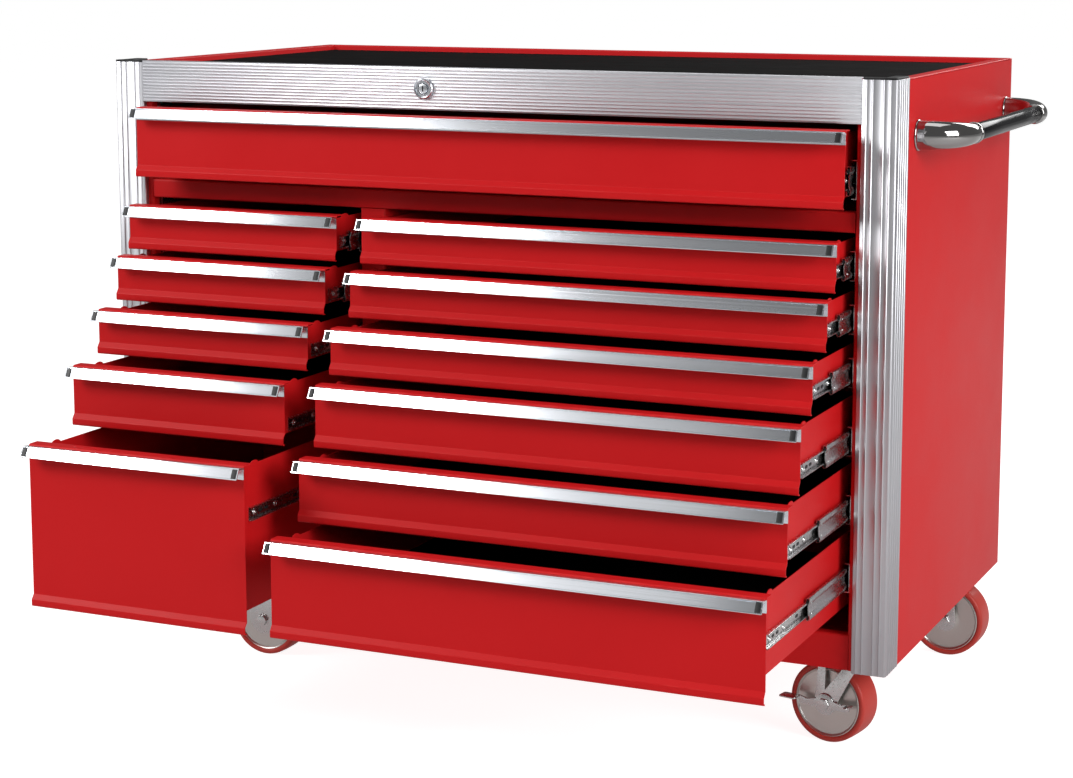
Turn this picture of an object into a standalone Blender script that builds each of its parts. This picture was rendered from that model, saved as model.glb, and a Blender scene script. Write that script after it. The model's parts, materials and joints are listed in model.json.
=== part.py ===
"""Rolling tool chest: a steel cabinet on four casters with twelve drawers.

The cabinet is laid out about its own centre line: x runs across the front, y runs
back from the plane of the corner posts, and z is the height above the lower ends of
the posts. An empty carries those axes to the world, where z = 0 is the floor and
the origin is the middle of the footprint.
"""

import bmesh
import bpy
from math import cos, pi, radians, sin
from mathutils import Matrix, Vector

# ---------------------------------------------------------------- driving sizes (metres)
CABINET_WIDTH = 1.360
CABINET_DEPTH = 0.737
RIM_HEIGHT = 0.900            # top of the steel rim
FRONT_RAISE = 0.004           # posts and top rail stand this much above the rim

BODY_SHEET = 0.002
DRAWER_SHEET = 0.0015
FACE_GAP = 0.0003             # between pieces that lie against each other

# Corner posts and front frame
POST_FACE = 0.055
POST_RETURN = 0.068
POST_WALL = 0.002
RIB_HEIGHT = 0.0012
JAMB_SET_BACK = 0.012         # face of jambs and rails behind the posts
JAMB_LAP = 0.0092             # jamb showing beside the post
HEM_DEPTH = 0.018
TOP_RAIL_HEIGHT = 0.069
TOP_RAIL_DEPTH = 0.0115
MID_RAIL_BOTTOM = 0.672
MID_RAIL_HEIGHT = 0.0315
BOTTOM_RAIL_HEIGHT = 0.056
BASE_RISE = 0.025             # base panel above the lower ends of the posts

# Work top
RIM_WIDTH = 0.022
TRAY_DEPTH = 0.012
MAT_THICKNESS = 0.003
MAT_CLEARANCE = 0.001
APRON_HEIGHT = 0.055

# Drawer layout
FRONT_INSET = 0.012           # edge of a drawer front beside a post
COLUMN_GAP = 0.0496           # between the two columns of drawer fronts
LEFT_FRONT_WIDTH = 0.3931
SHALLOW_PITCH = 0.081
MEDIUM_PITCH = 0.1055
FIRST_ROW_PULL = 0.650        # lower edge of the pulls in the first row of the columns
TOP_DRAWER_PULL = 0.811
TOP_DRAWER_LIP = 0.712
LEFT_LAST_LIP = 0.056         # lower edge of the deepest fronts
RIGHT_LAST_LIP = 0.061
LIP_OVER_NEXT_PULL = 0.0245
CLOSED_FACE_Y = 0.008         # a closed front stands this far behind the posts

# Drawer front and box
FRONT_ABOVE_PULL = 0.017
FRONT_RETURN = 0.022          # depth of the folded front
LIP_PROUD = 0.006
LIP_HEIGHT = 0.011
JOGGLE_HEIGHT = 0.008
HOOK_DEPTH = 0.005
WALL_ABOVE_PULL = 0.010
TAB_RISE = 0.005
TAB_START = 0.040
TAB_LENGTH = 0.025
DRAWER_BACK_GAP = 0.037       # back panel to a closed drawer
SHALLOW_BOX_RISE = 0.013      # box floor above the lip
DEEP_BOX_RISE = 0.030

# Pulls
PULL_REACH = 0.024
PULL_HEIGHT = 0.0165
PULL_LEAN = 0.0085
PULL_WALL = 0.002
PULL_LEG_DROP = 0.004
PULL_OVERHANG = 0.001

# Ball-bearing slides
SLIDE_BACK_GAP = 0.059        # back panel to the slides
SLIDE_METAL = 0.0012
SLIDE_SPACE = 0.0128          # between the drawer wall and the rack
SLIDE_START = 0.026
DRAWER_MEMBER_START = 0.031   # behind the face of the drawer front
OUTER_MOUTH = 0.0045          # from the drawer wall
MIDDLE_BACK = 0.0094
MIDDLE_MOUTH = 0.0030
INNER_MOUTH = 0.0065
OUTER_HEIGHT = 0.0455
MIDDLE_HEIGHT = 0.035
INNER_HEIGHT = 0.0225
TOP_SLIDE_SCALE = 1.3
SHALLOW_SLIDE_RISE = 0.027    # slide centre above the lip
TOP_SLIDE_RISE = 0.038
SIXTH_SLIDE_RISE = 0.080
DEEP_SLIDE_RISE = 0.180

# Slide racks and the divider between the columns
UPRIGHT_DEPTH = 0.036
FRONT_UPRIGHT_Y = 0.034
UPRIGHT_BACK_GAP = 0.079      # back panel to the rear uprights
DIVIDER_CLEARANCE = 0.0023    # divider face to the drawer fronts beside it
DIVIDER_BACK_GAP = 0.043

# Side handle
HANDLE_HEIGHT = 0.812
HANDLE_FRONT_INSET = 0.123    # front of the posts to the middle of the front foot
HANDLE_REAR_INSET = 0.044     # back of the chest to the middle of the rear foot
HANDLE_STANDOFF = 0.067       # tube centre to the side panel
HANDLE_RADIUS = 0.014
BRACKET_SWEEP = 0.076         # foot to the end of the tube, along the chest
BRACKET_FOOT_RADIUS = 0.024
BRACKET_NECK_RADIUS = 0.019
BRACKET_LIP = 0.0015          # mouth of a bracket over the tube

# Lock
LOCK_X = -0.094
LOCK_HEAD_RADIUS = 0.017
LOCK_HEAD_DEPTH = 0.005
LOCK_BARREL_RADIUS = 0.010
LOCK_BARREL_LENGTH = 0.032
LOCK_CLEARANCE = 0.0005
LOCK_CAM_LENGTH = 0.030

# Casters
WHEEL_RADIUS = 0.065
WHEEL_WIDTH = 0.050
TYRE_EDGE = 0.005             # rounded edge of the tyre
HUB_RADIUS = 0.055
HUB_RECESS = 0.003
AXLE_RADIUS = 0.006
AXLE_CLEARANCE = 0.0005
FORK_METAL = 0.003
FORK_CLEARANCE = 0.003
CROWN_CLEARANCE = 0.005
CASTER_TRAIL = 0.026
SWIVEL_INSET = 0.085          # outer face of a post to the caster pivots
RIGID_INSET = 0.206
FRONT_SWIVEL_INSET = 0.097
FRONT_RIGID_INSET = 0.140
REAR_INSET = 0.112
SWIVEL_LEG_END = 0.019        # half width of a leg at the axle
RIGID_LEG_END = 0.026
CASTER_PLATE = (0.112, 0.092, 0.004)
RACE_HEIGHT = 0.0247          # crown of a fork to its top plate
RACE_RADIUS = 0.031
NUT_RADIUS = 0.010
NUT_LENGTH = 0.008
FRONT_SWIVEL_TURN = radians(-11)
REAR_SWIVEL_TURN = radians(177.5)
TRAIL_SHOULDER = 0.012        # crown of a swivel fork beyond its axle
BRAKE_METAL = 0.003
BRAKE_ARM = 0.044             # axle to the bend of each pad
BRAKE_NEAR_PAD = 0.071        # axle to the tip of each pad
BRAKE_FAR_PAD = 0.051
BRAKE_PAD_WIDTH = 0.020
BRAKE_HALF_HEIGHT = 0.007
BRAKE_EYE_WALL = 0.006
ROUND_STEPS = 32

# ---------------------------------------------------------------- derived places
HALF_WIDTH = CABINET_WIDTH / 2
FRONT_TOP = RIM_HEIGHT + FRONT_RAISE
PANEL_OUTER_X = HALF_WIDTH - POST_WALL - FACE_GAP
OPENING_HALF = HALF_WIDTH - POST_FACE - JAMB_LAP
BACK_INSIDE = CABINET_DEPTH - BODY_SHEET
FORK_TOP = 2 * WHEEL_RADIUS + CROWN_CLEARANCE + FORK_METAL
FLOOR_GAP = FORK_TOP + RACE_HEIGHT + FACE_GAP + CASTER_PLATE[2] - BASE_RISE
AXLE_Z = WHEEL_RADIUS - FLOOR_GAP
SWIVEL_X = HALF_WIDTH - SWIVEL_INSET
RIGID_X = RIGID_INSET - HALF_WIDTH
BOX_DEPTH = BACK_INSIDE - DRAWER_BACK_GAP - CLOSED_FACE_Y - FRONT_RETURN
SLIDE_LENGTH = BACK_INSIDE - SLIDE_BACK_GAP - SLIDE_START
REAR_UPRIGHT_Y = BACK_INSIDE - UPRIGHT_BACK_GAP - UPRIGHT_DEPTH
DIVIDER_DEPTH = BACK_INSIDE - DIVIDER_BACK_GAP - JAMB_SET_BACK
HANDLE_SPAN = CABINET_DEPTH - HANDLE_REAR_INSET - HANDLE_FRONT_INSET
HANDLE_MIDDLE_Y = HANDLE_FRONT_INSET + HANDLE_SPAN / 2
LEFT_EDGE = -HALF_WIDTH + POST_FACE + FRONT_INSET
RIGHT_EDGE = HALF_WIDTH - POST_FACE - FRONT_INSET
LEFT_COLUMN = (LEFT_EDGE, LEFT_EDGE + LEFT_FRONT_WIDTH)
RIGHT_COLUMN = (LEFT_COLUMN[1] + COLUMN_GAP, RIGHT_EDGE)
FULL_WIDTH = (LEFT_EDGE, RIGHT_EDGE)
ROW_PITCHES = [SHALLOW_PITCH, SHALLOW_PITCH, SHALLOW_PITCH, MEDIUM_PITCH, MEDIUM_PITCH]
ROW_PULLS = [FIRST_ROW_PULL - sum(ROW_PITCHES[:row]) for row in range(6)]


class Drawer:
    """The sizes of one drawer, closed, and how far it stands open at rest."""

    def __init__(self, name, column, pull, lip, slide_rise, box_rise, opened, scale=1.0):
        self.name = name
        self.left, self.right = column
        self.pull = pull
        self.lip = lip
        self.slide_z = lip + slide_rise
        self.floor = lip + box_rise
        self.opened = opened
        self.scale = scale
        self.face_y = CLOSED_FACE_Y - opened
        self.box_left = self.left + SLIDE_SPACE
        self.box_right = self.right - SLIDE_SPACE


def row_lip(row):
    """Lower edge of a front whose next drawer down is in the following row."""
    return ROW_PULLS[row + 1] + LIP_OVER_NEXT_PULL


def drawer_list():
    """All twelve drawers, with the opening of each one at rest."""
    drawers = [Drawer("drawer_top", FULL_WIDTH, TOP_DRAWER_PULL, TOP_DRAWER_LIP,
                      TOP_SLIDE_RISE, SHALLOW_BOX_RISE, 0.046, TOP_SLIDE_SCALE)]
    left_open = [0.073, 0.112, 0.170, 0.245, 0.368]
    right_open = [0.080, 0.120, 0.185, 0.236, 0.289, 0.377]
    for row in range(4):
        drawers.append(Drawer(f"drawer_left_{row + 1}", LEFT_COLUMN, ROW_PULLS[row],
                              row_lip(row), SHALLOW_SLIDE_RISE, SHALLOW_BOX_RISE,
                              left_open[row]))
    drawers.append(Drawer("drawer_left_5", LEFT_COLUMN, ROW_PULLS[4], LEFT_LAST_LIP,
                          DEEP_SLIDE_RISE, DEEP_BOX_RISE, left_open[4]))
    for row in range(5):
        drawers.append(Drawer(f"drawer_right_{row + 1}", RIGHT_COLUMN, ROW_PULLS[row],
                              row_lip(row), SHALLOW_SLIDE_RISE, SHALLOW_BOX_RISE,
                              right_open[row]))
    drawers.append(Drawer("drawer_right_6", RIGHT_COLUMN, ROW_PULLS[5], RIGHT_LAST_LIP,
                          SIXTH_SLIDE_RISE, DEEP_BOX_RISE, right_open[5]))
    return drawers


DRAWERS = drawer_list()

# The footprint runs from the left post to the handle, and from the furthest pull to
# the back panel. Its middle is the origin.
FOOT_LEFT = -HALF_WIDTH
FOOT_RIGHT = PANEL_OUTER_X + HANDLE_STANDOFF + BRACKET_NECK_RADIUS
FOOT_FRONT = min(drawer.face_y for drawer in DRAWERS) - PULL_REACH
ORIGIN = Vector(((FOOT_LEFT + FOOT_RIGHT) / 2, (FOOT_FRONT + CABINET_DEPTH) / 2, -FLOOR_GAP))

# Cyclic turns that lay a flat outline in one of the three planes. The third column is
# the way the outline is extruded.
PLANES = {
    "xy": Matrix(((1, 0, 0), (0, 1, 0), (0, 0, 1))),
    "yz": Matrix(((0, 0, 1), (1, 0, 0), (0, 1, 0))),
    "xz": Matrix(((1, 0, 0), (0, 0, -1), (0, 1, 0))),
}


# ---------------------------------------------------------------- scene and materials
def clear_scene():
    """Remove what the scene holds."""
    for obj in list(bpy.data.objects):
        bpy.data.objects.remove(obj)


def collection(name):
    """A collection linked to the scene."""
    made = bpy.data.collections.new(name)
    bpy.context.scene.collection.children.link(made)
    return made


def material(name, colour, roughness, metallic):
    """A Principled material."""
    made = bpy.data.materials.new(name)
    made.use_nodes = True
    shader = made.node_tree.nodes["Principled BSDF"]
    shader.inputs["Base Color"].default_value = (*colour, 1.0)
    shader.inputs["Roughness"].default_value = roughness
    shader.inputs["Metallic"].default_value = metallic
    return made


clear_scene()
PARTS = collection("rolling_tool_chest")
CUTTERS = collection("cutters")
RED_PAINT = material("red_paint", (0.62, 0.02, 0.02), 0.35, 0.0)
ALUMINIUM = material("aluminium", (0.72, 0.72, 0.74), 0.35, 1.0)
ZINC = material("zinc_steel", (0.55, 0.55, 0.54), 0.35, 1.0)
CHROME = material("chrome", (0.80, 0.80, 0.80), 0.08, 1.0)
BLACK_TUBE = material("black_tube", (0.02, 0.02, 0.02), 0.3, 0.0)
BLACK_MAT = material("black_mat", (0.015, 0.015, 0.015), 0.9, 0.0)
RED_TYRE = material("red_tyre", (0.55, 0.05, 0.03), 0.5, 0.0)

CHEST = bpy.data.objects.new("chest_axes", None)
CHEST.location = -ORIGIN
PARTS.objects.link(CHEST)


# ---------------------------------------------------------------- modelling helpers
def baked(obj, turn=None):
    """Replace an object by a plain mesh object of its evaluated, welded shape."""
    bpy.context.view_layer.update()
    graph = bpy.context.evaluated_depsgraph_get()
    mesh = bpy.data.meshes.new_from_object(obj.evaluated_get(graph))
    mesh.transform(obj.matrix_world if turn is None else turn)
    work = bmesh.new()
    work.from_mesh(mesh)
    bmesh.ops.remove_doubles(work, verts=work.verts, dist=0.00001)
    bmesh.ops.recalc_face_normals(work, faces=work.faces)
    work.to_mesh(mesh)
    work.free()
    made = bpy.data.objects.new(obj.name + "_mesh", mesh)
    PARTS.objects.link(made)
    bpy.data.objects.remove(obj)
    return made


def prism(outline, plane, low, high):
    """A flat outline in a plane, extruded along the third axis from low to high."""
    curve = bpy.data.curves.new("outline", "CURVE")
    curve.dimensions = "2D"
    curve.fill_mode = "BOTH"
    curve.extrude = (high - low) / 2
    spline = curve.splines.new("POLY")
    spline.points.add(len(outline) - 1)
    for point, (u, v) in zip(spline.points, outline):
        point.co = (u, v, 0.0, 1.0)
    spline.use_cyclic_u = True
    obj = bpy.data.objects.new("outline", curve)
    PARTS.objects.link(obj)
    turn = PLANES[plane]
    middle = (low + high) / 2 if plane != "xz" else -(low + high) / 2
    return baked(obj, Matrix.Translation(turn @ Vector((0, 0, middle))) @ turn.to_4x4())


def box(low, high):
    """A box between two corners."""
    work = bmesh.new()
    bmesh.ops.create_cube(work, size=1.0)
    size = Vector(high) - Vector(low)
    middle = (Vector(high) + Vector(low)) / 2
    bmesh.ops.scale(work, verts=work.verts, vec=size)
    bmesh.ops.translate(work, verts=work.verts, vec=middle)
    mesh = bpy.data.meshes.new("box")
    work.to_mesh(mesh)
    work.free()
    obj = bpy.data.objects.new("box", mesh)
    PARTS.objects.link(obj)
    return obj


def cylinder(middle, axis, radius, length, steps=ROUND_STEPS):
    """A cylinder about a middle point, along x, y or z."""
    work = bmesh.new()
    bmesh.ops.create_cone(work, cap_ends=True, segments=steps, radius1=radius,
                          radius2=radius, depth=length)
    turn = {"x": Matrix.Rotation(pi / 2, 4, "Y"), "y": Matrix.Rotation(pi / 2, 4, "X"),
            "z": Matrix.Identity(4)}[axis]
    bmesh.ops.transform(work, matrix=Matrix.Translation(Vector(middle)) @ turn,
                        verts=work.verts)
    mesh = bpy.data.meshes.new("cylinder")
    work.to_mesh(mesh)
    work.free()
    obj = bpy.data.objects.new("cylinder", mesh)
    PARTS.objects.link(obj)
    return obj


def folded_sheet(path, plane, low, high, thickness):
    """A sheet bent along a path in a plane, and as long as low to high.

    The path is the sheet's middle line."""
    turn = PLANES[plane]
    along = -1 if plane == "xz" else 1
    work = bmesh.new()
    points = [work.verts.new(turn @ Vector((u, v, low * along))) for u, v in path]
    edges = [work.edges.new(pair) for pair in zip(points, points[1:])]
    grown = bmesh.ops.extrude_edge_only(work, edges=edges)["geom"]
    moved = [item for item in grown if isinstance(item, bmesh.types.BMVert)]
    bmesh.ops.translate(work, verts=moved, vec=turn @ Vector((0, 0, (high - low) * along)))
    mesh = bpy.data.meshes.new("sheet")
    work.to_mesh(mesh)
    work.free()
    obj = bpy.data.objects.new("sheet", mesh)
    PARTS.objects.link(obj)
    solid = obj.modifiers.new("thickness", "SOLIDIFY")
    solid.thickness = thickness
    solid.offset = 0.0
    solid.use_even_offset = True
    return baked(obj)


def turned(profile, axis, place):
    """A closed profile of (radius, height) points spun about x, y or z."""
    mesh = bpy.data.meshes.new("profile")
    points = [(radius, 0.0, height) for radius, height in profile]
    count = len(points)
    mesh.from_pydata(points, [(i, (i + 1) % count) for i in range(count)], [])
    obj = bpy.data.objects.new("profile", mesh)
    PARTS.objects.link(obj)
    screw = obj.modifiers.new("spin", "SCREW")
    screw.axis = "Z"
    screw.steps = ROUND_STEPS
    screw.render_steps = ROUND_STEPS
    screw.use_merge_vertices = True
    screw.merge_threshold = 0.00001
    turn = {"y": Matrix.Rotation(pi / 2, 4, "X"), "z": Matrix.Identity(4)}[axis]
    return baked(obj, Matrix.Translation(Vector(place)) @ turn)


def swept_tube(points, radii, depth, sides):
    """A round tube through points, with a radius factor at each."""
    curve = bpy.data.curves.new("tube", "CURVE")
    curve.dimensions = "3D"
    curve.bevel_depth = depth
    curve.bevel_resolution = (sides - 4) // 2
    curve.use_fill_caps = True
    spline = curve.splines.new("POLY")
    spline.points.add(len(points) - 1)
    for point, place, radius in zip(spline.points, points, radii):
        point.co = (*place, 1.0)
        point.radius = radius
    obj = bpy.data.objects.new("tube", curve)
    PARTS.objects.link(obj)
    return baked(obj)


def combine(target, others, operation="UNION"):
    """Join other objects to the target, or cut them from it, and remove them."""
    for other in others:
        change = target.modifiers.new("combine", "BOOLEAN")
        change.operation = operation
        change.object = other
        target = baked(target)
        bpy.data.objects.remove(other)
    return target


def finish(obj, name, paint, origin, parent=CHEST, smooth=None):
    """Name a piece, paint it, put its origin in place and hang it on its parent."""
    obj.name = name
    obj.data.name = name
    obj.data.materials.clear()
    obj.data.materials.append(paint)
    obj.data.transform(Matrix.Translation(-Vector(origin)))
    obj.parent = parent
    base = Vector(origin)
    if parent is not CHEST:
        base = base - parent.location
    obj.location = base
    if smooth:
        obj.data.shade_smooth()
        obj.data.set_sharp_from_angle(angle=smooth)
    return obj


def mirrored(points):
    """An outline on the other side of the centre line, in the same sense."""
    return [(-u, v) for u, v in reversed(points)]


# ---------------------------------------------------------------- cabinet
def ribs(start, end, count):
    """Distances at which raised ribs start and stop along a face, as pairs."""
    pitch = (end - start) / (count * 2 + 1)
    return [(start + pitch * (2 * i + 1), start + pitch * (2 * i + 2)) for i in range(count)]


def post_outline():
    """Right corner post: a ribbed face, a ribbed return and a folded inner edge."""
    face = 0.0
    side = HALF_WIDTH
    inner = HALF_WIDTH - POST_FACE
    skin = RIB_HEIGHT
    points = [(inner, JAMB_SET_BACK - FACE_GAP), (inner, face + skin)]
    for low, high in ribs(inner, side - 2 * skin, 3):
        points += [(low, face + skin), (low, face), (high, face), (high, face + skin)]
    points += [(side - skin, face + skin)]
    for low, high in ribs(3 * skin, POST_RETURN, 4):
        points += [(side - skin, low), (side, low), (side, high), (side - skin, high)]
    points += [(side - skin, POST_RETURN), (PANEL_OUTER_X + FACE_GAP, POST_RETURN)]
    points += [(PANEL_OUTER_X + FACE_GAP, face + skin + POST_WALL)]
    points += [(inner + POST_WALL, face + skin + POST_WALL)]
    points += [(inner + POST_WALL, JAMB_SET_BACK - FACE_GAP)]
    return points


def corner_posts():
    """The two aluminium posts that wrap the front corners."""
    right = post_outline()
    for name, outline in (("right_corner_post", right), ("left_corner_post", mirrored(right))):
        post = prism(outline, "xy", 0.0, FRONT_TOP)
        finish(post, name, ALUMINIUM, (0.0, 0.0, 0.0))


def caster_places():
    """Middle of each caster's top plate: name, x, y."""
    rear = CABINET_DEPTH - REAR_INSET
    return [("front_right", SWIVEL_X, FRONT_SWIVEL_INSET), ("rear_right", SWIVEL_X, rear),
            ("front_left", RIGID_X, FRONT_RIGID_INSET), ("rear_left", RIGID_X, rear)]


def cabinet_shell():
    """Sides, back and jambs folded from one sheet, with the base and bottom rail."""
    half = BODY_SHEET / 2
    side = PANEL_OUTER_X - half
    jamb = JAMB_SET_BACK + half
    edge = OPENING_HALF + half
    right = [(edge, JAMB_SET_BACK + HEM_DEPTH), (edge, jamb), (side, jamb),
             (side, CABINET_DEPTH - half)]
    path = right + [(-x, y) for x, y in reversed(right)]
    shell = folded_sheet(path, "xy", 0.0, RIM_HEIGHT - BODY_SHEET - FACE_GAP, BODY_SHEET)
    base = box((-side, jamb, BASE_RISE), (side, CABINET_DEPTH - half, BASE_RISE + BODY_SHEET))
    rail_top = BOTTOM_RAIL_HEIGHT - half
    rail_path = [(jamb, 0.0), (jamb, rail_top), (JAMB_SET_BACK + HEM_DEPTH, rail_top)]
    rail = folded_sheet(rail_path, "yz", -edge, edge, BODY_SHEET)
    plates = []
    length, width, thick = CASTER_PLATE
    for _, x, y in caster_places():
        plates.append(box((x - length / 2, y - width / 2, BASE_RISE - thick),
                          (x + length / 2, y + width / 2, BASE_RISE + half)))
    shell = combine(shell, [base, rail] + plates)
    finish(shell, "cabinet_shell", RED_PAINT, (0.0, 0.0, 0.0))


def lock_cutter():
    """The hole for the lock barrel."""
    z = FRONT_TOP - TOP_RAIL_HEIGHT / 2
    radius = LOCK_BARREL_RADIUS + LOCK_CLEARANCE
    cutter = cylinder((LOCK_X, 0.0, z), "y", radius, 0.2)
    cutter.hide_render = True
    cutter.display_type = "WIRE"
    PARTS.objects.unlink(cutter)
    CUTTERS.objects.link(cutter)
    return cutter


def recessed_tray(low, high, rim, depth, thickness):
    """A rectangular sheet pressed down inside a flat rim, between two plan corners."""
    half = thickness / 2
    work = bmesh.new()
    corners = [(low[0], low[1]), (high[0], low[1]), (high[0], high[1]), (low[0], high[1])]
    plate = work.faces.new([work.verts.new((x, y, 0.0)) for x, y in corners])
    plate.normal_update()
    bmesh.ops.inset_individual(work, faces=[plate], thickness=rim + half, depth=0.0,
                               use_even_offset=True)
    pressed = bmesh.ops.extrude_face_region(work, geom=[plate])["geom"]
    moved = [item for item in pressed if isinstance(item, bmesh.types.BMVert)]
    bmesh.ops.delete(work, geom=[plate], context="FACES_ONLY")
    bmesh.ops.translate(work, verts=moved, vec=(0.0, 0.0, -depth))
    mesh = bpy.data.meshes.new("tray")
    work.to_mesh(mesh)
    work.free()
    obj = bpy.data.objects.new("tray", mesh)
    PARTS.objects.link(obj)
    obj.location = (0.0, 0.0, RIM_HEIGHT - half)
    solid = obj.modifiers.new("thickness", "SOLIDIFY")
    solid.thickness = thickness
    solid.offset = 0.0
    solid.solidify_mode = "NON_MANIFOLD"
    solid.nonmanifold_thickness_mode = "CONSTRAINTS"
    return baked(obj)


def work_top():
    """The recessed tray, its rubber mat and the apron behind the top rail."""
    half = BODY_SHEET / 2
    front = JAMB_SET_BACK + BODY_SHEET
    tray = recessed_tray((-PANEL_OUTER_X, front), (PANEL_OUTER_X, CABINET_DEPTH),
                         RIM_WIDTH, TRAY_DEPTH, BODY_SHEET)
    apron_y = front + half / 2
    reach = OPENING_HALF - FACE_GAP
    apron = box((-reach, apron_y, RIM_HEIGHT - APRON_HEIGHT),
                (reach, apron_y + BODY_SHEET, RIM_HEIGHT - half))
    tray = combine(tray, [apron])
    tray = combine(tray, [lock_cutter()], "DIFFERENCE")
    finish(tray, "top_tray", RED_PAINT, (0.0, 0.0, 0.0))
    side = PANEL_OUTER_X - RIM_WIDTH - BODY_SHEET - MAT_CLEARANCE
    border = RIM_WIDTH + BODY_SHEET + MAT_CLEARANCE
    floor = RIM_HEIGHT - TRAY_DEPTH + FACE_GAP
    mat = box((-side, front + border, floor),
              (side, CABINET_DEPTH - border, floor + MAT_THICKNESS))
    finish(mat, "top_mat", BLACK_MAT, (0.0, 0.0, floor))


def top_rail():
    """The ribbed aluminium extrusion above the drawers, drilled for the lock."""
    bottom = FRONT_TOP - TOP_RAIL_HEIGHT
    skin = RIB_HEIGHT
    points = [(TOP_RAIL_DEPTH, bottom), (skin, bottom)]
    for low, high in ribs(bottom, FRONT_TOP, 5):
        points += [(skin, low), (0.0, low), (0.0, high), (skin, high)]
    points += [(skin, FRONT_TOP), (TOP_RAIL_DEPTH, FRONT_TOP)]
    points += [(TOP_RAIL_DEPTH, FRONT_TOP - POST_WALL), (skin + POST_WALL, FRONT_TOP - POST_WALL)]
    points += [(skin + POST_WALL, bottom + POST_WALL), (TOP_RAIL_DEPTH, bottom + POST_WALL)]
    reach = HALF_WIDTH - POST_FACE - FACE_GAP
    rail = prism(points, "yz", -reach, reach)
    rail = combine(rail, [lock_cutter()], "DIFFERENCE")
    finish(rail, "top_front_rail", ALUMINIUM, (0.0, 0.0, FRONT_TOP))


def mid_rail():
    """The folded steel rail between the top drawer and the columns."""
    half = BODY_SHEET / 2
    low = MID_RAIL_BOTTOM + half
    high = MID_RAIL_BOTTOM + MID_RAIL_HEIGHT - half
    jamb = JAMB_SET_BACK + half
    back = JAMB_SET_BACK + HEM_DEPTH
    reach = OPENING_HALF - FACE_GAP
    rail = folded_sheet([(back, low), (jamb, low), (jamb, high), (back, high)],
                        "yz", -reach, reach, BODY_SHEET)
    finish(rail, "mid_rail", RED_PAINT, (0.0, JAMB_SET_BACK, MID_RAIL_BOTTOM))


# ---------------------------------------------------------------- slides
def channel(back, mouth, height, drawer, start):
    """One slide member: a channel on its side, open towards the drawer or the rack."""
    tall = height * drawer.scale / 2
    step = SLIDE_METAL if mouth > back else -SLIDE_METAL
    outline = [(back, -tall), (mouth, -tall), (mouth, -tall + SLIDE_METAL),
               (back + step, -tall + SLIDE_METAL), (back + step, tall - SLIDE_METAL),
               (mouth, tall - SLIDE_METAL), (mouth, tall), (back, tall)]
    points = [(x, drawer.slide_z + z) for x, z in outline]
    return prism(points, "xz", start, start + SLIDE_LENGTH)


def slide_sides(drawer):
    """The two drawer walls and the way outwards from each."""
    return ((drawer.box_left, -1), (drawer.box_right, 1))


def outer_member(drawer, wall, out):
    """The member fixed in the cabinet."""
    back = wall + out * SLIDE_SPACE
    mouth = wall + out * OUTER_MOUTH
    return channel(back, mouth, OUTER_HEIGHT, drawer, SLIDE_START)


def middle_member(drawer, wall, out):
    """The member between, which runs at half the drawer's speed."""
    back = wall + out * MIDDLE_BACK
    mouth = wall + out * MIDDLE_MOUTH
    return channel(back, mouth, MIDDLE_HEIGHT, drawer, SLIDE_START - drawer.opened / 2)


def inner_member(drawer, wall, out):
    """The member fixed to the drawer."""
    back = wall - out * DRAWER_SHEET / 2
    mouth = wall + out * INNER_MOUTH
    return channel(back, mouth, INNER_HEIGHT, drawer, drawer.face_y + DRAWER_MEMBER_START)


def slide_racks():
    """Slotted uprights in the cabinet walls, each with its fixed slide members."""
    panel = PANEL_OUTER_X - BODY_SHEET - FACE_GAP
    low = BASE_RISE + BODY_SHEET + FACE_GAP
    high = RIM_HEIGHT - TRAY_DEPTH - BODY_SHEET - FACE_GAP
    half = BODY_SHEET / 2
    for name, out, edge in (("left_slide_rack", -1, LEFT_EDGE),
                            ("right_slide_rack", 1, RIGHT_EDGE)):
        face = edge + out * half / 2
        pieces = []
        for y in (FRONT_UPRIGHT_Y, REAR_UPRIGHT_Y):
            path = [(out * (panel - half), y), (face, y), (face, y + UPRIGHT_DEPTH),
                    (out * (panel - half), y + UPRIGHT_DEPTH)]
            pieces.append(folded_sheet(path, "xy", low, high, BODY_SHEET))
        for drawer in DRAWERS:
            for wall, way in slide_sides(drawer):
                at_rack = abs(wall + way * SLIDE_SPACE - edge) < BODY_SHEET
                if way == out and at_rack:
                    pieces.append(outer_member(drawer, wall, way))
        rack = pieces[2]
        rest = pieces[:2] + pieces[3:]
        rack = combine(rack, rest)
        finish(rack, name, ZINC, (face, 0.0, low))


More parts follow.
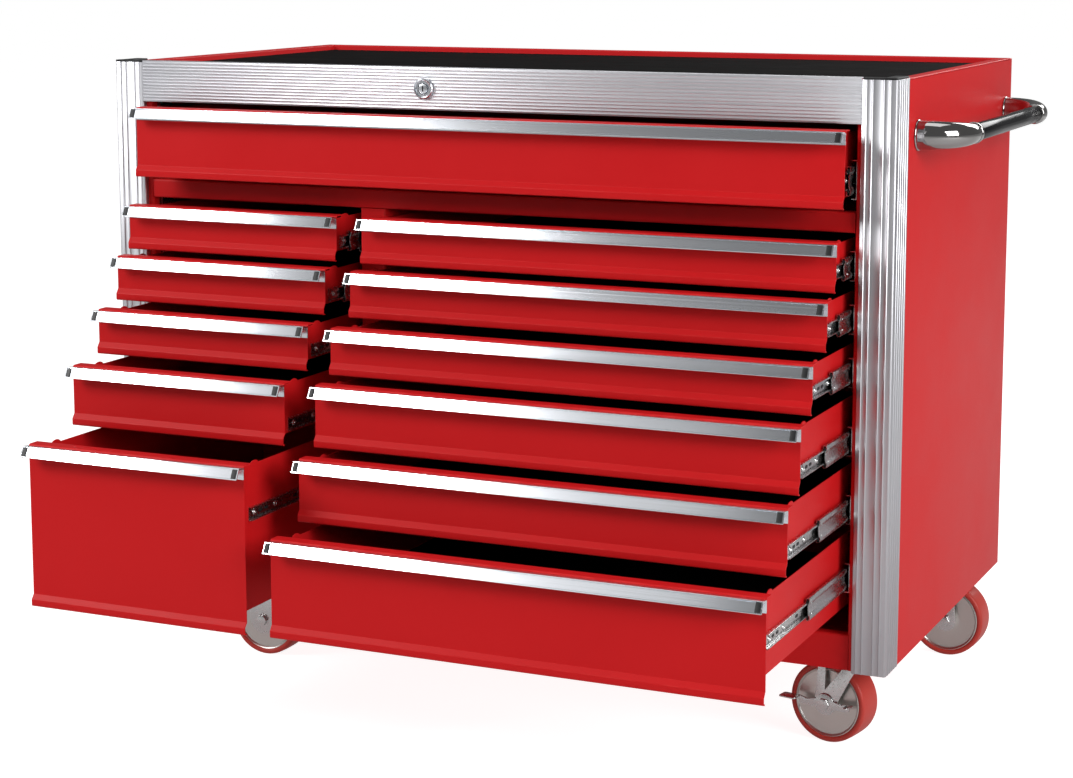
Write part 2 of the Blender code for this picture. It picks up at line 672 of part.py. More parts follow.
def centre_divider():
    """The channel between the columns, with the slide members of both sides."""
    half = BODY_SHEET / 2
    left = LEFT_COLUMN[1] + DIVIDER_CLEARANCE
    right = RIGHT_COLUMN[0] - DIVIDER_CLEARANCE
    low = BASE_RISE + BODY_SHEET + FACE_GAP
    high = MID_RAIL_BOTTOM - FACE_GAP
    back = JAMB_SET_BACK + DIVIDER_DEPTH
    path = [(left + half, back), (left + half, JAMB_SET_BACK + half),
            (right - half, JAMB_SET_BACK + half), (right - half, back)]
    divider = folded_sheet(path, "xy", low, high, BODY_SHEET)
    pads = []
    for y in (FRONT_UPRIGHT_Y, REAR_UPRIGHT_Y):
        pads.append(box((LEFT_COLUMN[1] - half / 2, y, low),
                        (left + half, y + UPRIGHT_DEPTH, high)))
        pads.append(box((right - half, y, low),
                        (RIGHT_COLUMN[0] + half / 2, y + UPRIGHT_DEPTH, high)))
    members = []
    for drawer in DRAWERS:
        if drawer.right == LEFT_COLUMN[1]:
            members.append(outer_member(drawer, drawer.box_right, 1))
        if drawer.left == RIGHT_COLUMN[0]:
            members.append(outer_member(drawer, drawer.box_left, -1))
    divider = combine(divider, pads + members)
    notch = box((left - BODY_SHEET, 0.0, 0.0),
                (right + BODY_SHEET, JAMB_SET_BACK + HEM_DEPTH + FACE_GAP,
                 BOTTOM_RAIL_HEIGHT + FACE_GAP))
    divider = combine(divider, [notch], "DIFFERENCE")
    finish(divider, "centre_divider", RED_PAINT, ((left + right) / 2, JAMB_SET_BACK, low))


# ---------------------------------------------------------------- drawers
def front_path(drawer):
    """Middle line of the folded front: hook, lip, joggle, face and top return."""
    half = DRAWER_SHEET / 2
    face = drawer.face_y + half
    lip = face - LIP_PROUD
    low = drawer.lip + half
    top = drawer.pull + FRONT_ABOVE_PULL - half
    step = drawer.lip + LIP_HEIGHT
    return [(lip + HOOK_DEPTH, low), (lip, low), (lip, step), (face, step + JOGGLE_HEIGHT),
            (face, top), (drawer.face_y + FRONT_RETURN, top)]


def wall_outline(drawer):
    """Side wall of the drawer box, with the raised tab behind the front."""
    near = drawer.face_y + FRONT_RETURN - DRAWER_SHEET
    far = drawer.face_y + FRONT_RETURN + BOX_DEPTH
    top = drawer.pull + WALL_ABOVE_PULL
    crest = drawer.pull + FRONT_ABOVE_PULL - DRAWER_SHEET / 2
    tab = drawer.face_y + TAB_START
    return [(near, drawer.floor), (far, drawer.floor), (far, top),
            (tab + TAB_LENGTH, top), (tab + TAB_LENGTH * 0.75, top + TAB_RISE),
            (tab + TAB_LENGTH * 0.3, top + TAB_RISE), (tab, top),
            (near + TAB_RISE, top), (near + DRAWER_SHEET, crest), (near, crest)]


def drawer_box(drawer):
    """One drawer: folded front, walls, floor and back, with its two slide members."""
    front = folded_sheet(front_path(drawer), "yz", drawer.left, drawer.right, DRAWER_SHEET)
    outline = wall_outline(drawer)
    sheet = DRAWER_SHEET
    lap = sheet / 2
    shy = sheet / 4
    near = drawer.face_y + FRONT_RETURN - sheet
    far = drawer.face_y + FRONT_RETURN + BOX_DEPTH
    left = drawer.box_left
    right = drawer.box_right
    low = drawer.floor
    top = drawer.pull + WALL_ABOVE_PULL
    crest = drawer.pull + FRONT_ABOVE_PULL - sheet / 2
    pieces = [
        prism(outline, "yz", left, left + sheet),
        prism(outline, "yz", right - sheet, right),
        box((left + lap, near + shy, low + shy),
            (right - lap, near + shy + sheet, crest - shy / 2)),
        box((left + lap, far - shy - sheet, low + shy), (right - lap, far - shy, top - shy)),
        box((left + lap, near + lap, low + lap), (right - lap, far - lap, low + lap + sheet)),
    ]
    for wall, out in slide_sides(drawer):
        pieces.append(inner_member(drawer, wall, out))
    made = combine(front, pieces)
    origin = ((left + right) / 2, drawer.face_y, drawer.slide_z)
    return finish(made, drawer.name + "_box", RED_PAINT, origin)


def pull_outline(drawer):
    """Section of the pull: a leaning face, a top web and a leg on the drawer front."""
    toe = drawer.face_y - PULL_REACH
    top = drawer.pull + PULL_HEIGHT
    shoulder = toe + PULL_LEAN
    leg = drawer.face_y - FACE_GAP
    foot = drawer.pull - PULL_LEG_DROP
    wall = PULL_WALL
    return [(toe, drawer.pull), (shoulder, top), (leg, top - wall), (leg, foot),
            (leg - wall, foot), (leg - wall, top - 2 * wall),
            (shoulder + wall * 0.6, top - wall * 1.2), (toe + wall * 1.4, drawer.pull)]


def pull(drawer, parent):
    """The aluminium extrusion along the top of a drawer front."""
    bar = prism(pull_outline(drawer), "yz", drawer.left - PULL_OVERHANG,
                drawer.right + PULL_OVERHANG)
    origin = ((drawer.left + drawer.right) / 2, drawer.face_y, drawer.pull)
    finish(bar, drawer.name + "_pull", ALUMINIUM, origin, parent)


def drawers():
    """Every drawer with its pull, and the middle slide member on its right."""
    for drawer in DRAWERS:
        made = drawer_box(drawer)
        pull(drawer, made)
        rail = middle_member(drawer, drawer.box_right, 1)
        origin = (drawer.box_right, SLIDE_START - drawer.opened / 2, drawer.slide_z)
        finish(rail, drawer.name + "_slide", ZINC, origin)


# ---------------------------------------------------------------- side handle and lock
def bracket_route(foot_y, way):
    """Points from the side panel, out and round to the end of the tube."""
    start = PANEL_OUTER_X + FACE_GAP
    stub = BRACKET_FOOT_RADIUS * 0.25
    points = [(start, foot_y, HANDLE_HEIGHT)]
    steps = 7
    for i in range(steps):
        turn = pi / 2 * i / (steps - 1)
        x = start + stub + (HANDLE_STANDOFF - stub - FACE_GAP) * sin(turn)
        y = foot_y + way * (BRACKET_SWEEP - 2 * stub) * (1 - cos(turn))
        points.append((x, y, HANDLE_HEIGHT))
    points.append((points[-1][0], foot_y + way * BRACKET_SWEEP, HANDLE_HEIGHT))
    return points


def side_handle():
    """The push handle on the right side: a tube between two chromed brackets."""
    near = HANDLE_MIDDLE_Y - HANDLE_SPAN / 2
    far = HANDLE_MIDDLE_Y + HANDLE_SPAN / 2
    depth = BRACKET_NECK_RADIUS
    for name, foot_y, way in (("handle_bracket_front", near, 1),
                              ("handle_bracket_rear", far, -1)):
        points = bracket_route(foot_y, way)
        count = len(points)
        swell = BRACKET_FOOT_RADIUS / depth - 1
        radii = [1 + swell * (1 - i / (count - 1)) ** 1.5 for i in range(count - 1)]
        radii.append((HANDLE_RADIUS + BRACKET_LIP) / depth)
        bracket = swept_tube(points, radii, depth, 12)
        finish(bracket, name, CHROME, (PANEL_OUTER_X, foot_y, HANDLE_HEIGHT),
               smooth=radians(40))
    x = PANEL_OUTER_X + HANDLE_STANDOFF
    start = near + BRACKET_SWEEP + FACE_GAP
    end = far - BRACKET_SWEEP - FACE_GAP
    tube = swept_tube([(x, start, HANDLE_HEIGHT), (x, end, HANDLE_HEIGHT)], [1, 1],
                      HANDLE_RADIUS, 16)
    finish(tube, "side_handle_tube", BLACK_TUBE, (x, HANDLE_MIDDLE_Y, HANDLE_HEIGHT),
           smooth=radians(40))


def lock():
    """The lock: a round head, a barrel through the rail and the cam behind it."""
    z = FRONT_TOP - TOP_RAIL_HEIGHT / 2
    head = cylinder((LOCK_X, -LOCK_HEAD_DEPTH / 2 - FACE_GAP, z), "y", LOCK_HEAD_RADIUS,
                    LOCK_HEAD_DEPTH)
    barrel_middle = LOCK_BARREL_LENGTH / 2 - LOCK_HEAD_DEPTH / 2
    barrel = cylinder((LOCK_X, barrel_middle, z), "y", LOCK_BARREL_RADIUS,
                      LOCK_BARREL_LENGTH)
    end = barrel_middle + LOCK_BARREL_LENGTH / 2
    half = BODY_SHEET * 2
    cam = box((LOCK_X - half, end - half, z - LOCK_CAM_LENGTH),
              (LOCK_X + half, end - half / 2, z))
    made = combine(head, [barrel, cam])
    finish(made, "lock_cylinder", CHROME, (LOCK_X, 0.0, z), smooth=radians(40))


# ---------------------------------------------------------------- casters
def wheel(name, parent, axle):
    """A polyurethane tyre moulded on a disc hub, bored for the axle."""
    half = WHEEL_WIDTH / 2
    face = half - HUB_RECESS
    shoulder = WHEEL_RADIUS - TYRE_EDGE * 0.6
    bore = AXLE_RADIUS + AXLE_CLEARANCE
    profile = [(bore, half), (NUT_RADIUS, half), (NUT_RADIUS + HUB_RECESS, face),
               (HUB_RADIUS, face), (HUB_RADIUS + HUB_RECESS / 2, half), (shoulder, half),
               (WHEEL_RADIUS, half - TYRE_EDGE)]
    profile = profile + [(radius, -height) for radius, height in reversed(profile)]
    made = turned(profile, "y", axle)
    finish(made, name, RED_TYRE, axle, parent, smooth=radians(30))


def leg_outline(top_near, top_far, axle_x, top_z, round_end):
    """A fork leg: broad at the crown, with a round end below the axle."""
    points = [(top_near, top_z), (axle_x - round_end, AXLE_Z)]
    for i in range(1, 6):
        turn = pi * i / 6
        points.append((axle_x - round_end * cos(turn), AXLE_Z - round_end * sin(turn)))
    points += [(axle_x + round_end, AXLE_Z), (top_far, top_z)]
    return points


def fork_body(y, axle_x, near, far, round_end):
    """Crown, two legs and the axle bolt with its nuts."""
    inside = WHEEL_WIDTH / 2 + FORK_CLEARANCE
    outside = inside + FORK_METAL
    under = AXLE_Z + WHEEL_RADIUS + CROWN_CLEARANCE
    crown = box((near, y - outside, under), (far, y + outside, under + FORK_METAL))
    outline = leg_outline(near, far, axle_x, under + FORK_METAL / 2, round_end)
    pieces = [
        prism(outline, "xz", y - outside, y - inside),
        prism(outline, "xz", y + inside, y + outside),
        cylinder((axle_x, y, AXLE_Z), "y", AXLE_RADIUS, 2 * outside + NUT_LENGTH),
        cylinder((axle_x, y - outside - NUT_LENGTH / 2 + FACE_GAP, AXLE_Z), "y",
                 NUT_RADIUS, NUT_LENGTH, 6),
        cylinder((axle_x, y + outside + NUT_LENGTH / 2 - FACE_GAP, AXLE_Z), "y",
                 NUT_RADIUS, NUT_LENGTH, 6),
    ]
    return crown, pieces, under + FORK_METAL


def brake(name, parent, y, axle_x):
    """Rocking brake lever that turns on the axle outside the front leg."""
    outside = WHEEL_WIDTH / 2 + FORK_CLEARANCE + FORK_METAL
    near = y - outside - FACE_GAP * 2 - BRAKE_METAL
    far = near + BRAKE_METAL
    low = AXLE_Z - BRAKE_HALF_HEIGHT
    high = AXLE_Z + BRAKE_HALF_HEIGHT
    hole = NUT_RADIUS + AXLE_CLEARANCE * 2
    bar = box((axle_x - BRAKE_ARM, near, low), (axle_x + BRAKE_ARM, far, high))
    boss = cylinder((axle_x, (near + far) / 2, AXLE_Z), "y", hole + BRAKE_EYE_WALL,
                    BRAKE_METAL)
    under = high - BRAKE_METAL
    lip = near - BRAKE_PAD_WIDTH
    lap = BRAKE_ARM - BRAKE_METAL
    pads = [
        box((axle_x - BRAKE_NEAR_PAD, lip, under), (axle_x - lap, far, high)),
        box((axle_x + lap, lip, under), (axle_x + BRAKE_FAR_PAD, far, high)),
    ]
    lever = combine(bar, [boss] + pads)
    eye = cylinder((axle_x, near, AXLE_Z), "y", hole, BRAKE_PAD_WIDTH)
    lever = combine(lever, [eye], "DIFFERENCE")
    finish(lever, name, ZINC, (axle_x, near, AXLE_Z), parent)


def swivel_caster(corner, x, y, turn, braked):
    """A caster whose fork swivels under its plate and trails behind the pivot."""
    axle_x = x - CASTER_TRAIL
    near = axle_x - TRAIL_SHOULDER
    far = x + RACE_RADIUS
    crown, pieces, top = fork_body(y, axle_x, near, far, SWIVEL_LEG_END)
    race_top = BASE_RISE - CASTER_PLATE[2] - FACE_GAP
    race = cylinder((x, y, (top + race_top) / 2 - FACE_GAP), "z", RACE_RADIUS,
                    race_top - top + FACE_GAP * 2)
    fork = combine(crown, pieces + [race])
    fork = finish(fork, corner + "_fork", ZINC, (x, y, 0.0), smooth=radians(40))
    wheel(corner + "_wheel", fork, (axle_x, y, AXLE_Z))
    if braked:
        brake(corner + "_brake", fork, y, axle_x)
    fork.rotation_euler = (0.0, 0.0, turn)


def rigid_caster(corner, x, y):
    """A caster whose fork is fixed, so that its wheel runs along the chest."""
    reach = RACE_RADIUS
    crown, pieces, top = fork_body(y, x, x - reach, x + reach, RIGID_LEG_END)
    plate_under = BASE_RISE - CASTER_PLATE[2] - FACE_GAP
    outside = WHEEL_WIDTH / 2 + FORK_CLEARANCE + FORK_METAL
    post = box((x - reach, y - outside, top - FACE_GAP), (x + reach, y + outside, plate_under))
    fork = combine(crown, pieces + [post])
    fork = finish(fork, corner + "_fork", ZINC, (x, y, 0.0), smooth=radians(40))
    wheel(corner + "_wheel", fork, (x, y, AXLE_Z))


def casters():
    """Two swivel casters under the handle, the front one braked, and two rigid ones."""
    turns = {"front_right": FRONT_SWIVEL_TURN, "rear_right": REAR_SWIVEL_TURN}
    for corner, x, y in caster_places():
        if corner in turns:
            swivel_caster(corner, x, y, turns[corner], corner == "front_right")
        else:
            rigid_caster(corner, x, y)


corner_posts()
cabinet_shell()
work_top()
top_rail()
mid_rail()
slide_racks()
centre_divider()
drawers()
side_handle()
lock()
casters()
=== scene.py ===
"""Rolling tool chest: the looks of a red steel cabinet with twelve drawers on casters.

Lengths are in metres. The cabinet is measured from its centre line, from the front
plane of its corner posts and from their lower ends, and AT carries that to the world.
"""

import json

import bmesh
import bpy
import numpy as np
from mathutils import Matrix, Vector


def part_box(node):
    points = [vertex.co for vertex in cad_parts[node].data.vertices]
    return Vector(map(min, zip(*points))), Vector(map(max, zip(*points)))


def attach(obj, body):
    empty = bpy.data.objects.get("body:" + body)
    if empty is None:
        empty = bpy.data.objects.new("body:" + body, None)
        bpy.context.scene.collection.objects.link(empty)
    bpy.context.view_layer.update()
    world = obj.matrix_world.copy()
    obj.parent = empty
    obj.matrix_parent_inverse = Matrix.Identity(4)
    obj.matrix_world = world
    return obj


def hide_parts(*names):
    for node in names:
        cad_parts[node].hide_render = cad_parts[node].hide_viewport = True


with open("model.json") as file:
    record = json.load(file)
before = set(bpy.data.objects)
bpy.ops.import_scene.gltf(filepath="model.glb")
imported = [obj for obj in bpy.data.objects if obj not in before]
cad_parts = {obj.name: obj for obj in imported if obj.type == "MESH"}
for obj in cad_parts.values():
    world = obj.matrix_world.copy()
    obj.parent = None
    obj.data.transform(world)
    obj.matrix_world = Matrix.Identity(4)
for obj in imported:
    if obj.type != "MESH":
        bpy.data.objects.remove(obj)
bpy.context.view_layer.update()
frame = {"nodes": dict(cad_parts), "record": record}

# ------------------------------------------------------------------ cabinet body
# The body is one wrapper of 2 mm steel sheet folded round both sides and the back, with
# a jamb turned in at each front edge. The base and the bottom rail are spot-welded in,
# and the four caster plates are bolted under the base. All of it is powder coated red.

shell_low, shell_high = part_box("cabinet_shell")
post_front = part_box("right_corner_post")[0][1]
AT = np.array([(shell_low[0] + shell_high[0]) / 2, post_front, shell_low[2]])


def node_box(name):
    """Lower and upper corners of a node's box, measured as the cabinet is."""
    return [np.array(corner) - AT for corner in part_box(name)]


PANEL = (shell_high[0] - shell_low[0]) / 2
DEPTH = shell_high[1] - post_front
SHELL_TOP = shell_high[2] - shell_low[2]
SHEET = 0.002
JAMB = 0.012
HEM = 0.018
OPENING = node_box("mid_rail")[1][0] + 0.0003
BASE = 0.025
BOTTOM_RAIL = 0.055
PLATE_SHEET = 0.004
PLATE_HALF = np.array([0.056, 0.046])
BOLT_SPREAD = np.array([0.045, 0.035])
BOLT_RADIUS, BOLT_HEIGHT = 0.006, 0.0035


def bend(path, radius, steps=5):
    """Middle line of a bent sheet.

    Each inner corner of the path becomes an arc tangent to both of its sides: the arc's
    centre is one radius along the left normal, towards the turn, and its points are that
    centre less the normal turned step by step. Gives points, left normals, and how much
    each point is on a bend."""
    path = np.asarray(path, float)
    along = np.diff(path, axis=0)
    length = np.hypot(along[:, 0], along[:, 1])
    along = along / length[:, None]
    before, after = along[:-1], along[1:]
    turn = np.arctan2(before[:, 0] * after[:, 1] - before[:, 1] * after[:, 0],
                      (before * after).sum(1))
    half = np.tan(np.maximum(np.abs(turn), 1e-4) / 2)
    cut = np.minimum(radius * half, 0.48 * np.minimum(length[:-1], length[1:]))
    reach = np.sign(turn) * cut / half
    left = np.stack([-along[:, 1], along[:, 0]], 1)
    centre = path[1:-1] - before * cut[:, None] + left[:-1] * reach[:, None]
    angle = turn[:, None] * np.linspace(0, 1, steps + 1)
    cosine, sine = np.cos(angle), np.sin(angle)
    normal = np.stack([left[:-1, :1] * cosine - left[:-1, 1:] * sine,
                       left[:-1, :1] * sine + left[:-1, 1:] * cosine], -1)
    arcs = centre[:, None] - normal * reach[:, None, None]
    margin = np.minimum(0.0012, (length[[0, -1]] - cut[[0, -1]]) / 2)
    first = path[0] + along[0] * np.array([[0], [margin[0]]])
    last = path[-1] - along[-1] * np.array([[margin[1]], [0]])
    points = np.concatenate([first, arcs.reshape(-1, 2), last])
    normals = np.concatenate([left[:1], left[:1], normal.reshape(-1, 2), left[-1:], left[-1:]])
    rub = np.tile(np.sin(np.linspace(0, np.pi, steps + 1)), len(turn))
    return points, normals, np.concatenate([[0.8, 0], rub, [0, 0.8]])


def stand(flat, height, plane):
    """Flat points (u, v) laid in a plane, at a height along its third axis."""
    height = np.broadcast_to(height, flat.shape[:-1])
    u, v = flat[..., 0], flat[..., 1]
    order = {"xy": (u, v, height), "yz": (height, u, v), "xz": (u, height, v)}[plane]
    return np.stack(order, -1)


def tube_faces(rings, count):
    """Quads between neighbouring rings of a grid: point i of ring j meets i + 1 of j + 1."""
    j, i = np.meshgrid(np.arange(rings - 1), np.arange(count), indexing="ij")
    here = j * count
    there = here + count
    after = (i + 1) % count
    return np.stack([here + i, here + after, there + after, there + i], -1).reshape(-1, 4)


def folded(path, radius, sheet, low, high, plane):
    """A sheet bent along a path in a plane, and as long as low to high.

    Its outline is the bent middle line moved half a sheet to the left, and back again
    half a sheet to the right. The two ends are closed by strips of quads."""
    middle, normal, wear = bend(path, radius)
    outline = np.concatenate([middle + normal * sheet / 2,
                              (middle - normal * sheet / 2)[::-1]])
    count = len(outline)
    a = np.arange(len(middle) - 1)
    strip = np.stack([a, a + 1, count - 2 - a, count - 1 - a], 1)
    points = np.concatenate([stand(outline, low, plane), stand(outline, high, plane)])
    faces = [tube_faces(2, count), strip, strip[:, ::-1] + count]
    return points, faces, np.tile(np.concatenate([wear, wear[::-1]]), 2)


def inward(outline):
    """Unit inward normals of a closed outline, lengthened at its corners."""
    area = (outline[:, 0] * np.roll(outline[:, 1], -1)
            - outline[:, 1] * np.roll(outline[:, 0], -1)).sum()
    outline = outline if area > 0 else outline[::-1]
    ahead = np.roll(outline, -1, axis=0) - outline
    ahead = ahead / np.maximum(np.linalg.norm(ahead, axis=1), 1e-9)[:, None]
    normal = np.stack([-ahead[:, 1], ahead[:, 0]], 1)
    both = normal + np.roll(normal, 1, axis=0)
    both = both / np.maximum(np.linalg.norm(both, axis=1), 0.7)[:, None]
    lean = np.maximum((both * normal).sum(1), 0.5)
    return outline, both / lean[:, None]


def plate(outline, low, high, plane, edge=0.0005, steps=3):
    """A closed outline given a thickness, with its rims rounded.

    At an angle t from 0 to a right angle, a ring is drawn in by edge * (1 - sin t) and
    stands edge * (1 - cos t) above the lower face; the upper rim mirrors it."""
    outline, normal = inward(np.asarray(outline, float))
    t = np.linspace(0, np.pi / 2, steps + 1)
    inset = edge * (1 - np.sin(t))
    rise = edge * (1 - np.cos(t))
    inset = np.concatenate([inset, inset[::-1]])
    height = np.concatenate([low + rise, (high - rise)[::-1]])
    flat = outline[None] + normal[None] * inset[:, None, None]
    points = stand(flat, height[:, None], plane).reshape(-1, 3)
    rings, count = len(height), len(outline)
    cap = np.arange(count)[None]
    faces = [tube_faces(rings, count), cap[:, ::-1], cap + (rings - 1) * count]
    rub = np.sin(2 * t)
    return points, faces, np.repeat(np.concatenate([rub, rub[::-1]]), count)


def rectangle(low, high, radius=0.0, steps=4):
    """Outline of a rectangle whose corners are arcs: each corner's centre plus the
    radius times the cosine and sine of its quarter turn."""
    low, high = np.asarray(low, float), np.asarray(high, float)
    radius = max(radius, 1e-6)
    t = (np.arange(4)[:, None] + np.linspace(0, 1, steps + 1)) * np.pi / 2
    centres = np.array([(high[0] - radius, high[1] - radius), (low[0] + radius, high[1] - radius),
                        (low[0] + radius, low[1] + radius), (high[0] - radius, low[1] + radius)])
    arcs = centres[:, None] + radius * np.stack([np.cos(t), np.sin(t)], -1)
    return arcs.reshape(-1, 2)


def turned(profile, centre, axis="z", steps=48):
    """A profile of (radius, height) spun about an axis through a centre.

    A ring's point is radius * cosine and radius * sine of its angle, at its height. A
    profile that ends on the axis closes there when its doubles are merged."""
    profile = np.asarray(profile, float)
    angle = np.linspace(0, 2 * np.pi, steps, endpoint=False)
    radius, height = profile[:, :1], np.repeat(profile[:, 1:], steps, 1)
    a, b = radius * np.cos(angle), radius * np.sin(angle)
    order = {"z": (a, b, height), "y": (a, height, b), "x": (height, a, b)}[axis]
    points = np.stack(order, -1).reshape(-1, 3) + np.asarray(centre)
    return points, [tube_faces(len(profile), steps)], np.zeros(len(points))


def in_scene(name, data):
    """A new object that holds a mesh, a light or a camera, linked to the scene."""
    obj = bpy.data.objects.new(name, data)
    bpy.context.scene.collection.objects.link(obj)
    return obj


def piece(name, parts, body, stands_for=(), at=AT, crease=35):
    """One object from parts, each with its paint, riding on a body of the frame."""
    points, faces, wear, paints, which = [], [], [], [], []
    start = 0
    for (place, polygons, rub), paint in parts:
        if paint not in paints:
            paints.append(paint)
        for block in polygons:
            faces += (block + start).tolist()
            which += [paints.index(paint)] * len(block)
        points.append(place + at)
        wear.append(rub)
        start += len(place)
    mesh = bpy.data.meshes.new(name)
    mesh.from_pydata(np.concatenate(points).tolist(), [], faces)
    mesh.attributes.new("wear", "FLOAT", "POINT").data.foreach_set("value",
                                                                 np.concatenate(wear))
    mesh.polygons.foreach_set("material_index", which)
    work = bmesh.new()
    work.from_mesh(mesh)
    bmesh.ops.remove_doubles(work, verts=work.verts, dist=2e-6)
    bmesh.ops.recalc_face_normals(work, faces=work.faces)
    work.to_mesh(mesh)
    work.free()
    mesh.shade_smooth()
    mesh.set_sharp_from_angle(angle=np.radians(crease))
    for paint in paints:
        mesh.materials.append(paint)
    obj = in_scene(name, mesh)
    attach(obj, body)
    if stands_for:
        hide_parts(*stands_for)
    return obj


def add(tree, kind, settings=(), **values):
    """A node with its settings; values name sockets, and a socket value is linked."""
    node = tree.nodes.new("ShaderNode" + kind)
    for key, value in dict(settings).items():
        setattr(node, key, value)
    for key, value in values.items():
        socket = node.inputs[key.replace("_", " ")]
        if isinstance(value, bpy.types.NodeSocket):
            tree.links.new(value, socket)
        else:
            socket.default_value = value
    return node


def mixed(tree, factor, first, second):
    """Colour between two colours."""
    node = tree.nodes.new("ShaderNodeMix")
    node.data_type = "RGBA"
    for index, value in ((0, factor), (6, first), (7, second)):
        if isinstance(value, bpy.types.NodeSocket):
            tree.links.new(value, node.inputs[index])
        else:
            node.inputs[index].default_value = value
    return node.outputs[2]


def effect(name, inputs, outputs):
    """An empty node group with named inputs and outputs, and its two end nodes."""
    made = bpy.data.node_groups.new(name, "ShaderNodeTree")
    for label, kind, value in inputs:
        made.interface.new_socket(label, in_out="INPUT",
                                  socket_type="NodeSocket" + kind).default_value = value
    for label, kind in outputs:
        made.interface.new_socket(label, in_out="OUTPUT", socket_type="NodeSocket" + kind)
    return made, made.nodes.new("NodeGroupInput").outputs, made.nodes.new("NodeGroupOutput")


def edge_rub_group():
    """Paint rubbed thin along bends and rims: the wear attribute, broken up by noise,
    picks between the coat and what shows through it."""
    made, given, ends = effect(
        "edge_rub", [("Coat", "Color", (1, 1, 1, 1)), ("Rubbed", "Color", (1, 1, 1, 1)),
                     ("Amount", "Float", 0.3)], [("Color", "Color")])
    place = add(made, "TexCoord").outputs["Object"]
    coarse = add(made, "TexNoise", Vector=place, Scale=34.0, Detail=5.0)
    wear = add(made, "Attribute", {"attribute_name": "wear"}).outputs["Fac"]
    broken = add(made, "MapRange", Value=coarse.outputs["Fac"], From_Min=0.42, From_Max=0.62)
    both = add(made, "Math", {"operation": "MULTIPLY"})
    made.links.new(wear, both.inputs[0])
    made.links.new(broken.outputs[0], both.inputs[1])
    scaled = add(made, "Math", {"operation": "MULTIPLY", "use_clamp": True})
    made.links.new(both.outputs[0], scaled.inputs[0])
    made.links.new(given["Amount"], scaled.inputs[1])
    made.links.new(mixed(made, scaled.outputs[0], given["Coat"], given["Rubbed"]),
                   ends.inputs["Color"])
    return made


def handled_skin_group():
    """A sprayed or moulded skin: fine peel for the bump, and broad smears that run the
    roughness between a low and a high value and shade the colour a little."""
    made, given, ends = effect(
        "handled_skin", [("Peel", "Float", 900.0), ("Smear", "Float", 6.0),
                         ("Low", "Float", 0.3), ("High", "Float", 0.4)],
        [("Height", "Float"), ("Roughness", "Float"), ("Shade", "Float")])
    place = add(made, "TexCoord").outputs["Object"]
    peel = add(made, "TexNoise", Vector=place, Scale=given["Peel"], Detail=2.0)
    smear = add(made, "TexNoise", Vector=place, Scale=given["Smear"], Detail=6.0, Roughness=0.62)
    spread = add(made, "MapRange", Value=smear.outputs["Fac"], From_Min=0.3, From_Max=0.7,
                 To_Min=given["Low"], To_Max=given["High"])
    made.links.new(peel.outputs["Fac"], ends.inputs["Height"])
    made.links.new(spread.outputs[0], ends.inputs["Roughness"])
    made.links.new(smear.outputs["Fac"], ends.inputs["Shade"])
    return made


EDGE_RUB = edge_rub_group()
HANDLED_SKIN = handled_skin_group()


def new_material(name, colour):
    """A material with a plain colour for the viewport, its node tree and its shader."""
    made = bpy.data.materials.new(name)
    made.use_nodes = True
    made.diffuse_color = (*colour, 1)
    return made, made.node_tree, made.node_tree.nodes["Principled BSDF"]


def cover(tree, shader, colour, roughness, bump):
    """Link to the shader what changes over the surface."""
    tree.links.new(colour, shader.inputs["Base Color"])
    tree.links.new(roughness, shader.inputs["Roughness"])
    tree.links.new(bump.outputs["Normal"], shader.inputs["Normal"])


def painted(name, colour, light, dark, rubbed, rub, roughness, peel, gloss=0.3, depth=0.0002):
    """A sprayed, dipped or moulded finish with smears, peel and rubbed bends."""
    made, tree, shader = new_material(name, colour)
    skin = add(tree, "Group", {"node_tree": HANDLED_SKIN}, Peel=peel, Smear=5.0,
               Low=roughness[0], High=roughness[1])
    tone = mixed(tree, skin.outputs["Shade"], (*dark, 1), (*light, 1))
    rim = add(tree, "Group", {"node_tree": EDGE_RUB}, Coat=tone, Rubbed=(*rubbed, 1), Amount=rub)
    bump = add(tree, "Bump", Strength=0.35, Distance=depth, Height=skin.outputs["Height"])
    cover(tree, shader, rim.outputs["Color"], skin.outputs["Roughness"], bump)
    shader.inputs["Specular IOR Level"].default_value = gloss
    return made


RED = painted("red_powder_coat", (0.58, 0.009, 0.011), (0.59, 0.011, 0.013),
              (0.54, 0.008, 0.010), (0.72, 0.05, 0.045), 0.35, (0.38, 0.46), 850.0, 0.12)


def drawn_grain_group():
    """Streaks along the way a metal was drawn: noise on stretched coordinates."""
    made, given, ends = effect(
        "drawn_grain", [("Place", "Vector", (0, 0, 0)), ("Stretch", "Vector", (1, 1, 1)),
                        ("Low", "Float", 0.2), ("High", "Float", 0.35)],
        [("Height", "Float"), ("Roughness", "Float"), ("Cloud", "Float")])
    pulled = add(made, "VectorMath", {"operation": "MULTIPLY"})
    made.links.new(given["Place"], pulled.inputs[0])
    made.links.new(given["Stretch"], pulled.inputs[1])
    streak = add(made, "TexNoise", Vector=pulled.outputs[0], Scale=1.0, Detail=4.0)
    cloud = add(made, "TexNoise", Vector=given["Place"], Scale=9.0, Detail=4.0)
    rough = add(made, "MapRange", Value=streak.outputs["Fac"], From_Min=0.3, From_Max=0.7,
                To_Min=given["Low"], To_Max=given["High"])
    made.links.new(streak.outputs["Fac"], ends.inputs["Height"])
    made.links.new(rough.outputs[0], ends.inputs["Roughness"])
    made.links.new(cloud.outputs["Fac"], ends.inputs["Cloud"])
    return made


DRAWN_GRAIN = drawn_grain_group()


